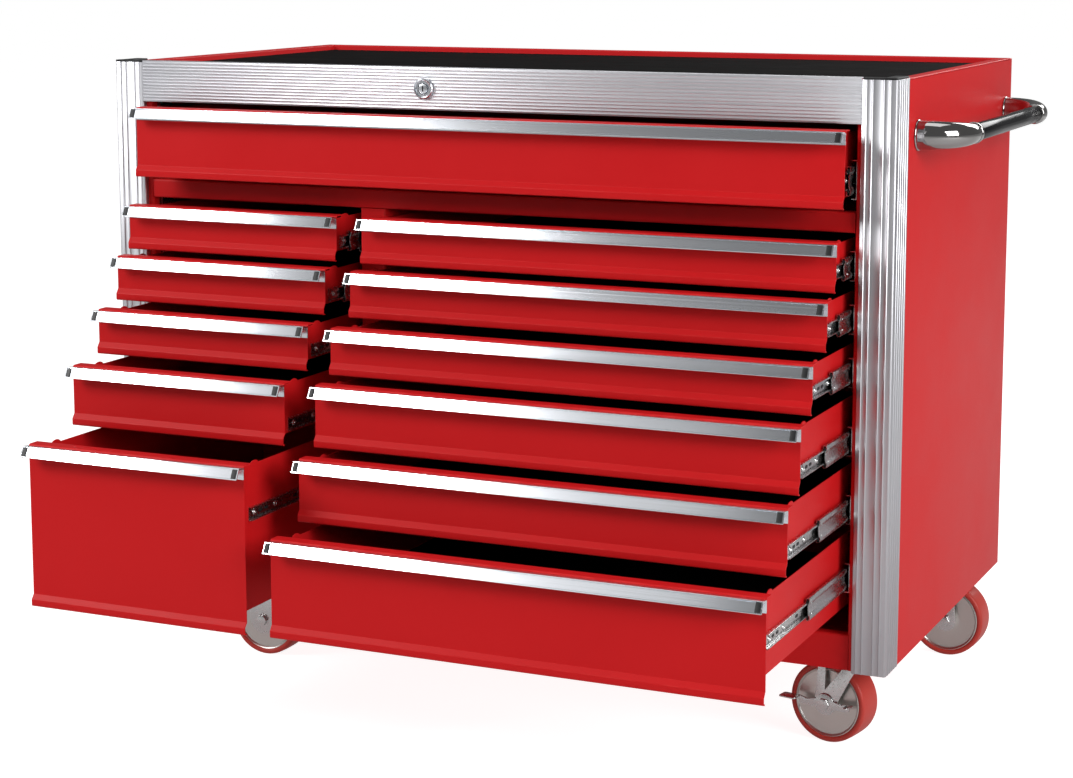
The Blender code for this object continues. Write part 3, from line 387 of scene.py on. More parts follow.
def bare_metal(name, colour, tint, roughness, stretch, height=0.00008, spun=False):
    """Bare metal drawn or rolled along one way: noise squeezed across that way gives the
    grain, and a broad cloud tints it. Spun metal takes its place from an attribute."""
    made, tree, shader = new_material(name, colour)
    shader.inputs["Metallic"].default_value = 1.0
    place = (add(tree, "Attribute", {"attribute_name": "spun"}).outputs["Vector"] if spun
             else add(tree, "TexCoord").outputs["Object"])
    grain = add(tree, "Group", {"node_tree": DRAWN_GRAIN}, Place=place, Stretch=stretch,
                Low=roughness[0], High=roughness[1])
    tone = mixed(tree, grain.outputs["Cloud"], (*colour, 1), (*tint, 1))
    rim = add(tree, "Group", {"node_tree": EDGE_RUB}, Coat=tone, Rubbed=(0.9, 0.9, 0.9, 1),
              Amount=0.5)
    bump = add(tree, "Bump", Strength=0.2, Distance=height, Height=grain.outputs["Height"])
    cover(tree, shader, rim.outputs["Color"], grain.outputs["Roughness"], bump)
    return made


ZINC = bare_metal("zinc_plate", (0.60, 0.61, 0.63), (0.68, 0.67, 0.65), (0.20, 0.30),
                  (240.0, 240.0, 240.0), 0.00003)


def bolt_head(centre, axis, radius, high, way=1):
    """A domed head: the height falls as the square of the radius, and a cone is sunk in
    its middle for the driver."""
    r = np.array([0.0, 0.22, 0.42, 0.6, 0.8, 0.95, 1.0, 1.0])
    h = np.array([0.35, 0.45, 0.97, 0.9, 0.72, 0.42, 0.25, -0.3])
    return turned(np.stack([r * radius, h * high * way], 1), centre, axis, 16)


half = SHEET / 2
edge = OPENING + half
side = PANEL - half
jamb = JAMB + half
hem = JAMB + HEM
wrap = [(edge, hem), (edge, jamb), (side, jamb), (side, DEPTH - half),
        (-side, DEPTH - half), (-side, jamb), (-edge, jamb), (-edge, hem)]
base = rectangle((-side, jamb), (side, DEPTH - half), 0.004)
rail = [(jamb, 0.0006), (jamb, BOTTOM_RAIL), (hem, BOTTOM_RAIL)]
body_parts = [
    (folded(wrap, 0.003, SHEET, 0.0, SHELL_TOP, "xy"), RED),
    (plate(base, BASE, BASE + SHEET, "xy"), RED),
    (folded(rail, 0.0025, SHEET, -edge, edge, "yz"), RED),
]
joints = {joint["name"]: joint for joint in frame["record"]["behaviour"]["joints"]}
CASTERS = {}
for corner in ("front_right", "rear_right", "front_left", "rear_left"):
    swivel = joints.get(corner + "_swivel")
    roll = joints[corner + "_roll"]
    pivot = np.array((swivel or roll)["pos_m"])
    heading = np.arctan2(-roll["axis"][0], roll["axis"][1])
    CASTERS[corner] = (pivot, np.array(roll["pos_m"]), heading, bool(swivel))
    spot = (pivot - AT)[:2]
    body_parts.append((plate(rectangle(spot - PLATE_HALF, spot + PLATE_HALF, 0.006),
                             BASE - PLATE_SHEET, BASE + 0.0004, "xy"), ZINC))
    for way in ((-1, -1), (-1, 1), (1, -1), (1, 1)):
        centre = (*(spot + BOLT_SPREAD * way), BASE - BOLT_HEIGHT)
        body_parts.append((bolt_head(centre, "z", BOLT_RADIUS, BOLT_HEIGHT, -1), ZINC))
piece("cabinet_body", body_parts, "cabinet", ["cabinet_shell"])

# ------------------------------------------------------------------ rails and racks
# A folded rail parts the top drawer from the two columns, and a folded divider stands
# between the columns. The drawers' fixed slide members hook into zinc uprights.

mid_low, mid_high = node_box("mid_rail")
low, high = mid_low[2] + half, mid_high[2] - half
middle_rail = folded([(hem, low), (jamb, low), (jamb, high), (hem, high)], 0.0025, SHEET,
                     mid_low[0], mid_high[0], "yz")
piece("middle_rail", [(middle_rail, RED)], "cabinet", ["mid_rail"])

DRAWER_NAMES = (["drawer_top"] + [f"drawer_left_{n}" for n in range(1, 6)]
                + [f"drawer_right_{n}" for n in range(1, 7)])
SLIDE_SPACE = 0.0128
SLIDE_LENGTH = 0.650
SLIDE_HEIGHT = 0.035
SLIDE_SHEET = 0.0011
FIXED_FRONT = 0.0263
PULL_DEPTH = 0.024
PULL_DROP = 0.004
FLOOR_RISE, DEEP_FLOOR_RISE = 0.013, 0.030


class Drawer:
    """One drawer as it stands at rest, measured from its nodes."""

    def __init__(self, name):
        box_low, box_high = node_box(name + "_box")
        pull_low = node_box(name + "_pull")[0]
        rail_low, rail_high = node_box(name + "_slide")
        deep = name in ("drawer_left_5", "drawer_right_6")
        self.name = name
        self.left, self.right = box_low[0], box_high[0]
        self.lip, self.top = box_low[2], box_high[2]
        self.pull = pull_low[2] + PULL_DROP
        self.face = pull_low[1] + PULL_DEPTH
        self.floor = self.lip + (DEEP_FLOOR_RISE if deep else FLOOR_RISE)
        self.slide_z = (rail_low[2] + rail_high[2]) / 2
        self.middle_y = rail_low[1]
        self.scale = (rail_high[2] - rail_low[2]) / SLIDE_HEIGHT
        self.walls = ((self.left + SLIDE_SPACE, -1), (self.right - SLIDE_SPACE, 1))


DRAWERS = [Drawer(name) for name in DRAWER_NAMES]


def rail_section(points, wall, out, middle, scale):
    """Section of a slide member from (distance off the wall, height) pairs of its upper
    half; the lower half mirrors it."""
    points = np.asarray(points, float)
    both = np.concatenate([points, points[::-1] * (1, -1)])
    return np.stack([wall + out * both[:, 0], middle + both[:, 1] * scale], 1)


def fixed_member(drawer, wall, out):
    """The outer slide member: a C open towards the drawer, with a rolled race."""
    outline = rail_section([(0.0050, 0.0188), (0.0046, 0.0221), (0.0122, 0.0221),
                            (0.0122, 0.0120)], wall, out, drawer.slide_z, drawer.scale)
    return folded(outline, 0.0018, SLIDE_SHEET, FIXED_FRONT, FIXED_FRONT + SLIDE_LENGTH, "xz")


DIVIDER_GAP = 0.0023
FOOT_TOP = 0.0566
FOOT_FRONT = 0.031
divider_low, divider_high = node_box("centre_divider")
left_edge = DRAWERS[1].right + DIVIDER_GAP + half
right_edge = DRAWERS[6].left - DIVIDER_GAP - half
channel = [(left_edge, divider_high[1]), (left_edge, jamb), (right_edge, jamb),
           (right_edge, divider_high[1])]
divider_parts = [(folded(channel, 0.003, SHEET, 0.0565, divider_high[2], "xy"), RED)]
for x, way in ((left_edge, 1), (right_edge, -1)):
    foot = [(x, divider_high[1]), (x, FOOT_FRONT), (x + way * 0.004, FOOT_FRONT)]
    divider_parts.append((folded(foot, 0.001, SHEET, divider_low[2], FOOT_TOP, "xy"), RED))
for drawer in DRAWERS[1:]:
    wall, out = drawer.walls[1 if "left" in drawer.name else 0]
    divider_parts.append((fixed_member(drawer, wall, out), ZINC))
piece("column_divider", divider_parts, "cabinet", ["centre_divider"])
for rack in ("left_slide_rack", "right_slide_rack"):
    frame["nodes"][rack].data.materials.clear()
    frame["nodes"][rack].data.materials.append(ZINC)

# ------------------------------------------------------------------ corner posts
# Extruded aluminium wraps each front corner. Thin rounded ridges run down its face and
# finer ones down its side, and a black moulded cap closes its upper end.

post_low, post_high = node_box("right_corner_post")
POST_X, POST_RETURN, POST_TOP = post_high
POST_FACE = POST_X - post_low[0]
CORNER_RADIUS = 0.0038
CAP = 0.003
RIDGE = 0.0012


def ridged(start, end, ridges, width, rise):
    """Distances along a face and how far each point is sunk below the ridge tops.

    Each ridge is a raised cosine of its width; between ridges the face is flat."""
    t = np.linspace(-1, 1, 9)
    ridges = np.asarray(ridges)[:, None]
    along = (ridges + t * width / 2).reshape(-1)
    sunk = np.tile(rise * (1 - (1 + np.cos(np.pi * t)) / 2), len(ridges))
    return np.concatenate([[start], along, [end]]), np.concatenate([[rise], sunk, [rise]])


def post_outline():
    """Right post in plan: inner hem, ridged face, round corner, ridged side, and back
    along the inside."""
    inner = POST_X - POST_FACE
    along, sunk = ridged(inner + 0.0008, POST_X - 0.005,
                         inner + POST_FACE * np.array([0.12, 0.29, 0.60, 0.78]), 0.0030, RIDGE)
    face = np.stack([along, sunk], 1)
    t = np.linspace(0, np.pi / 2, 8)[1:-1]
    round_x, round_y = POST_X - RIDGE - CORNER_RADIUS, RIDGE + CORNER_RADIUS
    corner = np.stack([round_x + CORNER_RADIUS * np.sin(t),
                       round_y - CORNER_RADIUS * np.cos(t)], 1)
    down, low_by = ridged(0.008, POST_RETURN - 0.0006,
                          np.linspace(0.014, POST_RETURN - 0.008, 5), 0.0026, RIDGE)
    return_face = np.stack([POST_X - low_by, down], 1)
    inside = [(PANEL + 0.0004, POST_RETURN - 0.0002), (PANEL + 0.0004, 0.0036),
              (inner + 0.0021, 0.0036), (inner + 0.0021, JAMB - 0.0003),
              (inner, JAMB - 0.0003), (inner, RIDGE + 0.0006)]
    return np.concatenate([face, corner, return_face, inside])


def aluminium_skin(name, stretch, tone):
    """Satin anodised aluminium, drawn along one way."""
    return bare_metal(name, (tone, tone, tone * 1.06), (tone * 1.08, tone * 1.08, tone * 1.12),
                      (0.40, 0.50), stretch, 0.00001)


UPRIGHT_ALUMINIUM = aluminium_skin("aluminium_post", (300.0, 300.0, 0.4), 0.56)
# Black moulded plastic for the caps, clips and stops; its patches in the slide slots and the
# keyway are painted shade for holes.
BLACK_PLASTIC_AND_HOLE_SHADE = painted("black_plastic_and_hole_shade", (0.015, 0.015, 0.016), (0.020, 0.020, 0.021),
                        (0.011, 0.011, 0.012), (0.05, 0.05, 0.05), 0.3, (0.38, 0.52), 1400.0)

for name, sign in (("right", 1), ("left", -1)):
    outline = post_outline() * (sign, 1)
    post = plate(outline, 0.0, POST_TOP - CAP, "xy", 0.0003, 1)
    lid = rectangle((POST_X - POST_FACE + 0.001, 0.0010), (POST_X - RIDGE, 0.0138), 0.0025)
    skirt = rectangle((PANEL - 0.021, 0.0010), (POST_X - RIDGE, POST_RETURN - 0.001), 0.0025)
    piece(name + "_post", [(post, UPRIGHT_ALUMINIUM)], "cabinet", [name + "_corner_post"],
          crease=60)
    piece(name + "_post_cap",
          [(plate(lid * (sign, 1), POST_TOP - CAP, POST_TOP, "xy", 0.001), BLACK_PLASTIC_AND_HOLE_SHADE),
           (plate(skirt * (sign, 1), POST_TOP - CAP + 0.0002, POST_TOP - 0.0002, "xy", 0.001),
            BLACK_PLASTIC_AND_HOLE_SHADE)],
          "cabinet", ())

# ------------------------------------------------------------------ top rail
# A ribbed aluminium extrusion runs between the posts above the top drawer. Its upper
# edge turns back over the rim of the work top.

rail_low, rail_high = node_box("top_front_rail")
BAR_ALUMINIUM = aluminium_skin("aluminium_bar", (0.4, 300.0, 300.0), 0.72)
RIBS, RIB_WIDTH, RIB_RISE = 13, 0.0030, 0.0007
tall = rail_high[2] - rail_low[2]
up, sunk = ridged(rail_low[2] + 0.0006, rail_high[2] - 0.0015,
                  rail_low[2] + tall * (np.arange(RIBS) + 0.6) / (RIBS + 0.4),
                  RIB_WIDTH, RIB_RISE)
front = np.stack([sunk, up], 1)
behind = [(0.0018, rail_high[2]), (rail_high[1], rail_high[2]),
          (rail_high[1], rail_high[2] - 0.002), (0.0033, rail_high[2] - 0.002),
          (0.0033, rail_low[2] + 0.002), (rail_high[1], rail_low[2] + 0.002),
          (rail_high[1], rail_low[2]), (0.0016, rail_low[2])]
top_bar = plate(np.concatenate([front, behind]), rail_low[0], rail_high[0], "yz", 0.0002, 1)
piece("top_bar", [(top_bar, BAR_ALUMINIUM)], "cabinet", ["top_front_rail"],
      crease=60)

# ------------------------------------------------------------------ work top
# The top is a pressed steel tray whose flat rim stands 12 mm above its floor. A ribbed
# black rubber mat lies loose in it.

tray_low, tray_high = node_box("top_tray")
mat_low, mat_high = node_box("top_mat")
RIM = tray_high[2]
RIM_WIDTH = 0.022
TRAY_FLOOR = RIM - 0.012
OUTER_BEND, INNER_BEND = 0.0016, 0.002
BEND_RINGS = 6


def stacked(rings, radius):
    """Rounded rectangles, one per (inset, height), joined in turn and closed at both ends.

    The last rings are the three bends of the rim, rubbed most at their middles."""
    flat = []
    for inset, height in rings:
        outline = rectangle(tray_low[:2] + inset, tray_high[:2] - inset,
                            max(radius - inset * 0.3, 0.0015), 5)
        flat.append(stand(outline, height, "xy"))
    count = len(flat[0])
    cap = np.arange(count)[None]
    faces = [tube_faces(len(flat), count), cap[:, ::-1], cap + (len(flat) - 1) * count]
    bends = np.zeros(len(rings))
    bends[-3 * BEND_RINGS:] = np.tile(np.sin(np.linspace(0, np.pi, BEND_RINGS)), 3)
    return np.concatenate(flat), faces, np.repeat(bends, count)


t = np.linspace(0, np.pi / 2, BEND_RINGS)
outer_bend = np.stack([OUTER_BEND * (1 - np.sin(t)),
                       RIM - OUTER_BEND + OUTER_BEND * np.cos(t)], 1)[::-1]
inner_bend = np.stack([RIM_WIDTH - INNER_BEND + INNER_BEND * np.sin(t),
                       RIM - INNER_BEND + INNER_BEND * np.cos(t)], 1)
foot_bend = np.stack([RIM_WIDTH + INNER_BEND - INNER_BEND * np.cos(t),
                      TRAY_FLOOR + INNER_BEND - INNER_BEND * np.sin(t)], 1)
tray_rings = np.concatenate([[(RIM_WIDTH + 0.001, TRAY_FLOOR - 0.0018),
                              (RIM_WIDTH - 0.0018, TRAY_FLOOR - 0.0002),
                              (RIM_WIDTH - 0.0018, SHELL_TOP + 0.0002),
                              (0.0008, SHELL_TOP + 0.0002)], outer_bend, inner_bend, foot_bend])
piece("tray", [(stacked(tray_rings, 0.004), RED)], "cabinet", ["top_tray"])


def ribbed_rubber_and_drawer_shade():
    """Matt black rubber, moulded with fine ribs across the chest and dusty in places. It is
    also laid on each drawer floor as painted shade.
    """
    made, tree, shader = new_material("ribbed_rubber_and_drawer_shade", (0.012, 0.012, 0.012))
    place = add(tree, "TexCoord").outputs["Object"]
    rib = add(tree, "TexWave", {"bands_direction": "Y"}, Vector=place, Scale=55.0)
    skin = add(tree, "Group", {"node_tree": HANDLED_SKIN}, Peel=1200.0, Smear=7.0, Low=0.62,
               High=0.82)
    tone = mixed(tree, skin.outputs["Shade"], (0.004, 0.004, 0.004, 1), (0.009, 0.008, 0.008, 1))
    relief = add(tree, "Math", {"operation": "MULTIPLY_ADD"})
    relief.inputs[1].default_value = 0.12
    tree.links.new(skin.outputs["Height"], relief.inputs[0])
    tree.links.new(rib.outputs["Fac"], relief.inputs[2])
    bump = add(tree, "Bump", Strength=0.5, Distance=0.0004, Height=relief.outputs[0])
    cover(tree, shader, tone, skin.outputs["Roughness"], bump)
    shader.inputs["Specular IOR Level"].default_value = 0.02
    return made


RUBBER_AND_DRAWER_SHADE = ribbed_rubber_and_drawer_shade()
mat_outline = rectangle(mat_low[:2], mat_high[:2], 0.004, 5)
piece("mat", [(plate(mat_outline, mat_low[2], mat_high[2], "xy", 0.0009), RUBBER_AND_DRAWER_SHADE)], "cabinet",
      ["top_mat"])

# ------------------------------------------------------------------ drawers
# Each front is one folded sheet: a hooked lip below, a joggle, the face, and a flange
# turned back at the top. A welded box hangs behind it, narrower by the two slides.

DRAWER_SHEET = 0.0015
BOX_DEPTH = 0.668
FLANGE = 0.022
PAINTED_SHADE_SHEET_GAP = 0.003


def drawer_front(drawer):
    """Folded front, with 2 mm bends."""
    h = DRAWER_SHEET / 2
    face = drawer.face + h
    lip = face - 0.006
    path = [(lip + 0.005, drawer.lip + h), (lip, drawer.lip + h), (lip, drawer.lip + 0.011),
            (face, drawer.lip + 0.019), (face, drawer.top - h),
            (drawer.face + FLANGE, drawer.top - h)]
    return folded(path, 0.0022, DRAWER_SHEET, drawer.left, drawer.right, "yz")


def box_span(drawer):
    """Where the welded box starts behind the front, where it ends, and its walls' height."""
    behind = drawer.face + FLANGE
    return behind - DRAWER_SHEET, behind + BOX_DEPTH, drawer.pull + 0.010


def wall_outline(drawer):
    """Side wall, with a raised tab behind the front and eased corners."""
    near, far, top = box_span(drawer)
    tab = drawer.face + 0.040
    crest = drawer.top - DRAWER_SHEET / 2
    t = np.linspace(0, 1, 9)
    rise = np.stack([tab + 0.025 * t, top + 0.005 * np.sin(np.pi * t) ** 0.6], 1)[::-1]
    return np.concatenate([[(near, drawer.floor), (far - 0.003, drawer.floor),
                            (far, drawer.floor + 0.003), (far, top - 0.003),
                            (far - 0.003, top)], rise,
                           [(near + 0.006, top), (near + 0.0015, crest), (near, crest)]])


for drawer in DRAWERS:
    (left, _), (right, _) = drawer.walls
    near, far, top = box_span(drawer)
    outline = wall_outline(drawer)
    parts = [
        (drawer_front(drawer), RED),
        (plate(outline, left, left + DRAWER_SHEET, "yz", 0.0006, 2), RED),
        (plate(outline, right - DRAWER_SHEET, right, "yz", 0.0006, 2), RED),
        (folded([(near + 0.012, drawer.floor + 0.0014), (near + 0.0008, drawer.floor + 0.0014),
                 (near + 0.0008, drawer.top - 0.0012)], 0.002, DRAWER_SHEET,
                left + 0.0005, right - 0.0005, "yz"), RED),
        (folded([(near + 0.011, drawer.floor + 0.0012), (far - 0.001, drawer.floor + 0.0012),
                 (far - 0.001, top - 0.001), (far - 0.010, top - 0.001)], 0.002,
                DRAWER_SHEET, left + 0.0005, right - 0.0005, "yz"), RED),
    ]
    piece(drawer.name + "_body", parts, drawer.name, [drawer.name + "_box"])
    # A black sheet on each drawer floor is painted shade: it darkens the inside seen in the gaps.
    painted_shade_sheet = rectangle((left + PAINTED_SHADE_SHEET_GAP, near + 0.0040), (right - PAINTED_SHADE_SHEET_GAP, far - 0.0040), 0.003)
    piece(drawer.name + "_liner", [(plate(painted_shade_sheet, drawer.floor + 0.0024, drawer.floor + 0.0044,
                                          "xy", 0.0006, 2), RUBBER_AND_DRAWER_SHADE)],
          drawer.name, ())

# ------------------------------------------------------------------ drawer pulls
# A full-width aluminium extrusion is riveted along each front. Its leaning face is a
# shallow channel between two lips; a satin strip lies in it, held by a clip at each end.

FACE_ALUMINIUM = bare_metal("aluminium_pull", (0.78, 0.81, 0.86), (0.84, 0.86, 0.90),
                            (0.20, 0.28), (0.4, 600.0, 600.0), 0.00001)
CLIP_LENGTH = 0.0085
PULL_LEAN = np.array([0.0085, 0.0165])
PULL_FACE = np.hypot(*PULL_LEAN)
STRIP_SINK = 0.0009
STRIP_MARGIN = 0.0023


def on_pull_face(drawer, up, sunk):
    """Points on a pull's leaning face: up along it from its toe, and sunk square to it."""
    along = PULL_LEAN / PULL_FACE
    inner = np.array([along[1], -along[0]])
    toe = np.array([drawer.face - PULL_DEPTH, drawer.pull])
    return toe + along * np.array(up)[:, None] + inner * np.array(sunk)[:, None]


def pull_outline(drawer):
    """Section of the pull: nose, lipped face, top web and the leg on the drawer front."""
    toe, foot = drawer.face - PULL_DEPTH, drawer.pull
    face = on_pull_face(drawer, [0.0, 0.0004, 0.0017, 0.0021, PULL_FACE - 0.0021,
                                 PULL_FACE - 0.0017, PULL_FACE - 0.0005, PULL_FACE],
                        [0.0004, 0.0, 0.0, 0.0007, 0.0007, 0.0, 0.0, 0.0005])
    top = foot + PULL_LEAN[1]
    leg = drawer.face - 0.0003
    rest = [(toe + 0.0092, top - 0.0001), (leg - 0.0008, top - 0.0019), (leg, top - 0.0026),
            (leg, foot - 0.0038), (leg - 0.0018, foot - 0.0038), (leg - 0.0018, top - 0.0045),
            (toe + 0.0102, top - 0.0026), (toe + 0.0028, foot + 0.0002)]
    return np.concatenate([face, rest])


def face_strip(drawer, start, end, proud):
    """A flat strip in the channel of the leaning face, from one station to another."""
    low, high = STRIP_MARGIN, PULL_FACE - STRIP_MARGIN
    outline = on_pull_face(drawer, [low, high, high, low],
                           [STRIP_SINK, STRIP_SINK, proud, proud])
    return plate(outline, start, end, "yz", 0.00015, 2)


for drawer in DRAWERS:
    start, end = drawer.left - 0.0009, drawer.right + 0.0009
    parts = [(plate(pull_outline(drawer), start, end, "yz", 0.0003, 2), FACE_ALUMINIUM)]
    for first, last, paint, proud in (
            (start + 0.002, start + 0.002 + CLIP_LENGTH, BLACK_PLASTIC_AND_HOLE_SHADE, 0.0001),
            (start + 0.0022 + CLIP_LENGTH, end - 0.0022 - CLIP_LENGTH, FACE_ALUMINIUM, 0.0003),
            (end - 0.002 - CLIP_LENGTH, end - 0.002, BLACK_PLASTIC_AND_HOLE_SHADE, 0.0001)):
        parts.append((face_strip(drawer, first, last, proud), paint))
    piece(drawer.name + "_handle", parts, drawer.name, [drawer.name + "_pull"])

# ------------------------------------------------------------------ drawer slides
# Each side runs on a ball-bearing slide of zinc-plated steel: a member screwed to the
# drawer, one fixed in the cabinet, and one between them that runs at half the speed.

MEMBER_FRONT = 0.0312


def drawer_member(drawer, wall, out):
    """The inner member: a shallow C whose rolled edges are the ball races."""
    outline = rail_section([(0.0060, 0.0086), (0.0058, 0.0104), (0.0006, 0.0107),
                            (0.0006, 0.0040)], wall, out, drawer.slide_z, drawer.scale)
    near = drawer.face + MEMBER_FRONT
    parts = [(folded(outline, 0.0012, SLIDE_SHEET, near, near + SLIDE_LENGTH, "xz"), ZINC)]
    for station in (0.016, 0.078, 0.300, 0.560):
        parts.append((bolt_head((wall + out * 0.0012, near + station, drawer.slide_z), "x",
                                0.0042, 0.0022, out), ZINC))
    # Black patches on the web stand for its slots: painted shade where the holes show dark.
    for station in (0.034, 0.052, 0.140, 0.230):
        painted_hole_shade = rectangle((near + station - 0.006, drawer.slide_z - 0.0024),
                         (near + station + 0.006, drawer.slide_z + 0.0024), 0.00235, 5)
        low, high = sorted((wall + out * 0.0008, wall + out * 0.00135))
        parts.append((plate(painted_hole_shade, low, high, "yz", 0.0001, 1), BLACK_PLASTIC_AND_HOLE_SHADE))
    return parts


def running_member(drawer, wall, out):
    """The middle member: its web is pressed in between the races, and a black stop with
    the end of the ball cage closes its front end."""
    outline = rail_section([(0.0040, 0.0128), (0.0036, 0.0166), (0.0086, 0.0166),
                            (0.0094, 0.0112), (0.0073, 0.0060), (0.0071, 0.0016)],
                           wall, out, drawer.slide_z, drawer.scale)
    near = drawer.middle_y
    parts = [(folded(outline, 0.0020, SLIDE_SHEET, near + 0.0003, near + SLIDE_LENGTH - 0.0003,
                     "xz"), ZINC)]
    for level in (-1, 1):
        z = drawer.slide_z + level * 0.0122 * drawer.scale
        block = rectangle((wall + out * 0.0056 - 0.0022, z - 0.0020),
                          (wall + out * 0.0056 + 0.0022, z + 0.0020), 0.0012, 3)
        parts.append((plate(block, near + 0.0006, near + 0.0300, "xz", 0.0004, 2),
                      BLACK_PLASTIC_AND_HOLE_SHADE))
        parts.append((bolt_head((wall + out * 0.0078, near + 0.012,
                                 drawer.slide_z + level * 0.0085 * drawer.scale), "x",
                                0.0022, 0.0018, out), ZINC))
    return parts


for drawer in DRAWERS:
    members, runners = [], []
    for wall, out in drawer.walls:
        members += drawer_member(drawer, wall, out)
        runners += running_member(drawer, wall, out)
    piece(drawer.name + "_members", members, drawer.name, ())
    piece(drawer.name + "_runners", runners, drawer.name + "_middle",
          [drawer.name + "_slide"])

# ------------------------------------------------------------------ side handle
# The push handle is a gloss black tube held by two cast and chromed brackets, each
# swelling to a round foot that is bolted through the side panel.

CHROME = bare_metal("bright_chrome", (0.40, 0.39, 0.38), (0.33, 0.32, 0.32), (0.04, 0.08),
                    (120.0, 120.0, 120.0), 0.00001)
GLOSS_BLACK = painted("gloss_black", (0.005, 0.005, 0.006), (0.006, 0.006, 0.007),
                      (0.004, 0.004, 0.005), (0.10, 0.10, 0.10), 0.2, (0.12, 0.20), 700.0, 0.05,
                      0.00006)
tube_low, tube_high = node_box("side_handle_tube")
TUBE_X, TUBE_Z = (tube_low[0] + tube_high[0]) / 2, (tube_low[2] + tube_high[2]) / 2
TUBE_RADIUS = (tube_high[2] - tube_low[2]) / 2
FOOT_RADIUS = 0.0240
ROOT, NECK = 0.0222, 0.0158
BOW_STEPS = 26


def swept(points, radii, sides=32):
    """A round bar along a level route.

    A ring's point is the route's point, plus its radius times the cosine of the angle
    across the route and the sine upwards. Radii of nothing close the ends."""
    points = np.asarray(points, float)
    ahead = np.gradient(points, axis=0)
    ahead = ahead / np.linalg.norm(ahead, axis=1)[:, None]
    across = np.stack([ahead[:, 1], -ahead[:, 0], np.zeros(len(points))], 1)
    angle = np.linspace(0, 2 * np.pi, sides, endpoint=False)
    radii = np.asarray(radii)[:, None, None]
    rings = (points[:, None] + radii * (across[:, None] * np.cos(angle)[:, None]
                                        + np.array([0, 0, 1.0]) * np.sin(angle)[:, None]))
    return (rings.reshape(-1, 3), [tube_faces(len(points), sides)],
            np.zeros(len(points) * sides))


for name, way in (("front", 1), ("rear", -1)):
    bracket_low, bracket_high = node_box("handle_bracket_" + name)
    foot = (bracket_low[1] if way > 0 else bracket_high[1]) + way * FOOT_RADIUS
    mouth = bracket_high[1] if way > 0 else bracket_low[1]
    start = bracket_low[0]
    t = np.linspace(0, np.pi / 2, BOW_STEPS)
    reach = TUBE_X - start - 0.012
    sweep = abs(mouth - foot) - 0.014
    bow = np.stack([start + 0.012 + reach * np.sin(t), foot + way * sweep * (1 - np.cos(t)),
                    np.full(BOW_STEPS, TUBE_Z)], 1)
    lead = np.array([(start, foot, TUBE_Z), (start + 0.0002, foot, TUBE_Z),
                     (start + 0.003, foot, TUBE_Z), (start + 0.0045, foot, TUBE_Z)])
    tail = np.array([(TUBE_X, mouth - way * d, TUBE_Z)
                     for d in (0.0092, 0.0088, 0.0078, 0.0020, 0.0008, 0.0002, 0.0001)])
    u = np.linspace(0, 1, BOW_STEPS)
    radii = np.concatenate([[0, 0.0212, 0.0225, ROOT], ROOT + (NECK - ROOT) * u ** 1.6,
                            [NECK, 0.0166, 0.0170, 0.0170, 0.0164, 0.0152, 0.0]])
    bracket = swept(np.concatenate([lead, bow, tail]), radii)
    flange = turned([(0.0, 0.0), (0.0236, 0.0), (FOOT_RADIUS, 0.0008), (0.0236, 0.0022),
                     (0.0224, 0.0030), (0.0, 0.0030)], (start, foot, TUBE_Z), "x")
    piece("handle_" + name, [(bracket, CHROME), (flange, CHROME)], "cabinet",
          ["handle_bracket_" + name], crease=50)

length = tube_high[1] - tube_low[1]
stations = tube_low[1] + np.array([0, 0.0, 0.0004, 0.001, length / 3, length / 2, length * 0.7,
                                   length - 0.001, length - 0.0004, length])
count = len(stations)
route = np.stack([np.full(count, TUBE_X), stations + np.arange(count) * 1e-7,
                  np.full(count, TUBE_Z)], 1)
tube = swept(route, TUBE_RADIUS * np.array([0, 0.97, 0.99, 1, 1, 1, 1, 1, 0.98, 0]))
piece("handle_tube", [(tube, GLOSS_BLACK)], "cabinet", ["side_handle_tube"])

# ------------------------------------------------------------------ lock
# One key lock secures every drawer. A bright nickel bezel is pressed into the top rail,
# and the plug inside it turns a flat cam behind.

lock_low, lock_high = node_box("lock_cylinder")
x, _, z = np.array(joints["lock_turn"]["pos_m"]) - AT
lock_middle = np.array([x, 0.0, z])
LOCK_FRONT = lock_low[1]
bezel = [(0.0092, -0.0006), (0.0092, 0.0030), (0.0128, 0.0030), (0.0134, 0.0006),
         (0.0146, 0.0), (0.0160, 0.0006), (0.0170, 0.0022), (0.0170, 0.0052), (0.0104, 0.0052),
         (0.0104, 0.0270), (0.0092, 0.0270), (0.0092, -0.0006)]
bezel = np.array(bezel) + (0, LOCK_FRONT)
bezel[[0, -1], 1] = LOCK_FRONT + 0.0016
plug = np.array([(0.0, 0.0008), (0.0062, 0.0008), (0.0078, 0.0014), (0.0084, 0.0028),
                 (0.0088, 0.0046), (0.0088, 0.0300), (0.0, 0.0300)]) + (0, LOCK_FRONT)
# The keyway is a thin black patch on the plug face: painted shade for the dark slot.
painted_keyhole_shade = rectangle((x - 0.0011, z - 0.0046), (x + 0.0011, z + 0.0046), 0.0009, 3)
cam = rectangle((x - 0.008, lock_low[2]), (x + 0.008, z + 0.008), 0.0078, 6)
piece("lock_bezel", [(turned(bezel, lock_middle, "y"), FACE_ALUMINIUM)], "cabinet", ())
piece("lock_plug", [
    (turned(plug, lock_middle, "y"), FACE_ALUMINIUM),
    (plate(painted_keyhole_shade, LOCK_FRONT + 0.0003, LOCK_FRONT + 0.0010, "xz", 0.0001, 1), BLACK_PLASTIC_AND_HOLE_SHADE),
    (plate(cam, lock_high[1] - 0.0028, lock_high[1] - 0.0002, "xz", 0.0003, 2), ZINC),
], "lock", ["lock_cylinder"])

# ------------------------------------------------------------------ casters
# Two rigid casters carry the left end, and two swivel casters carry the right end, the
# front one with a brake. Each is a pressed and zinc-plated fork round a disc wheel with
# a red polyurethane tyre.

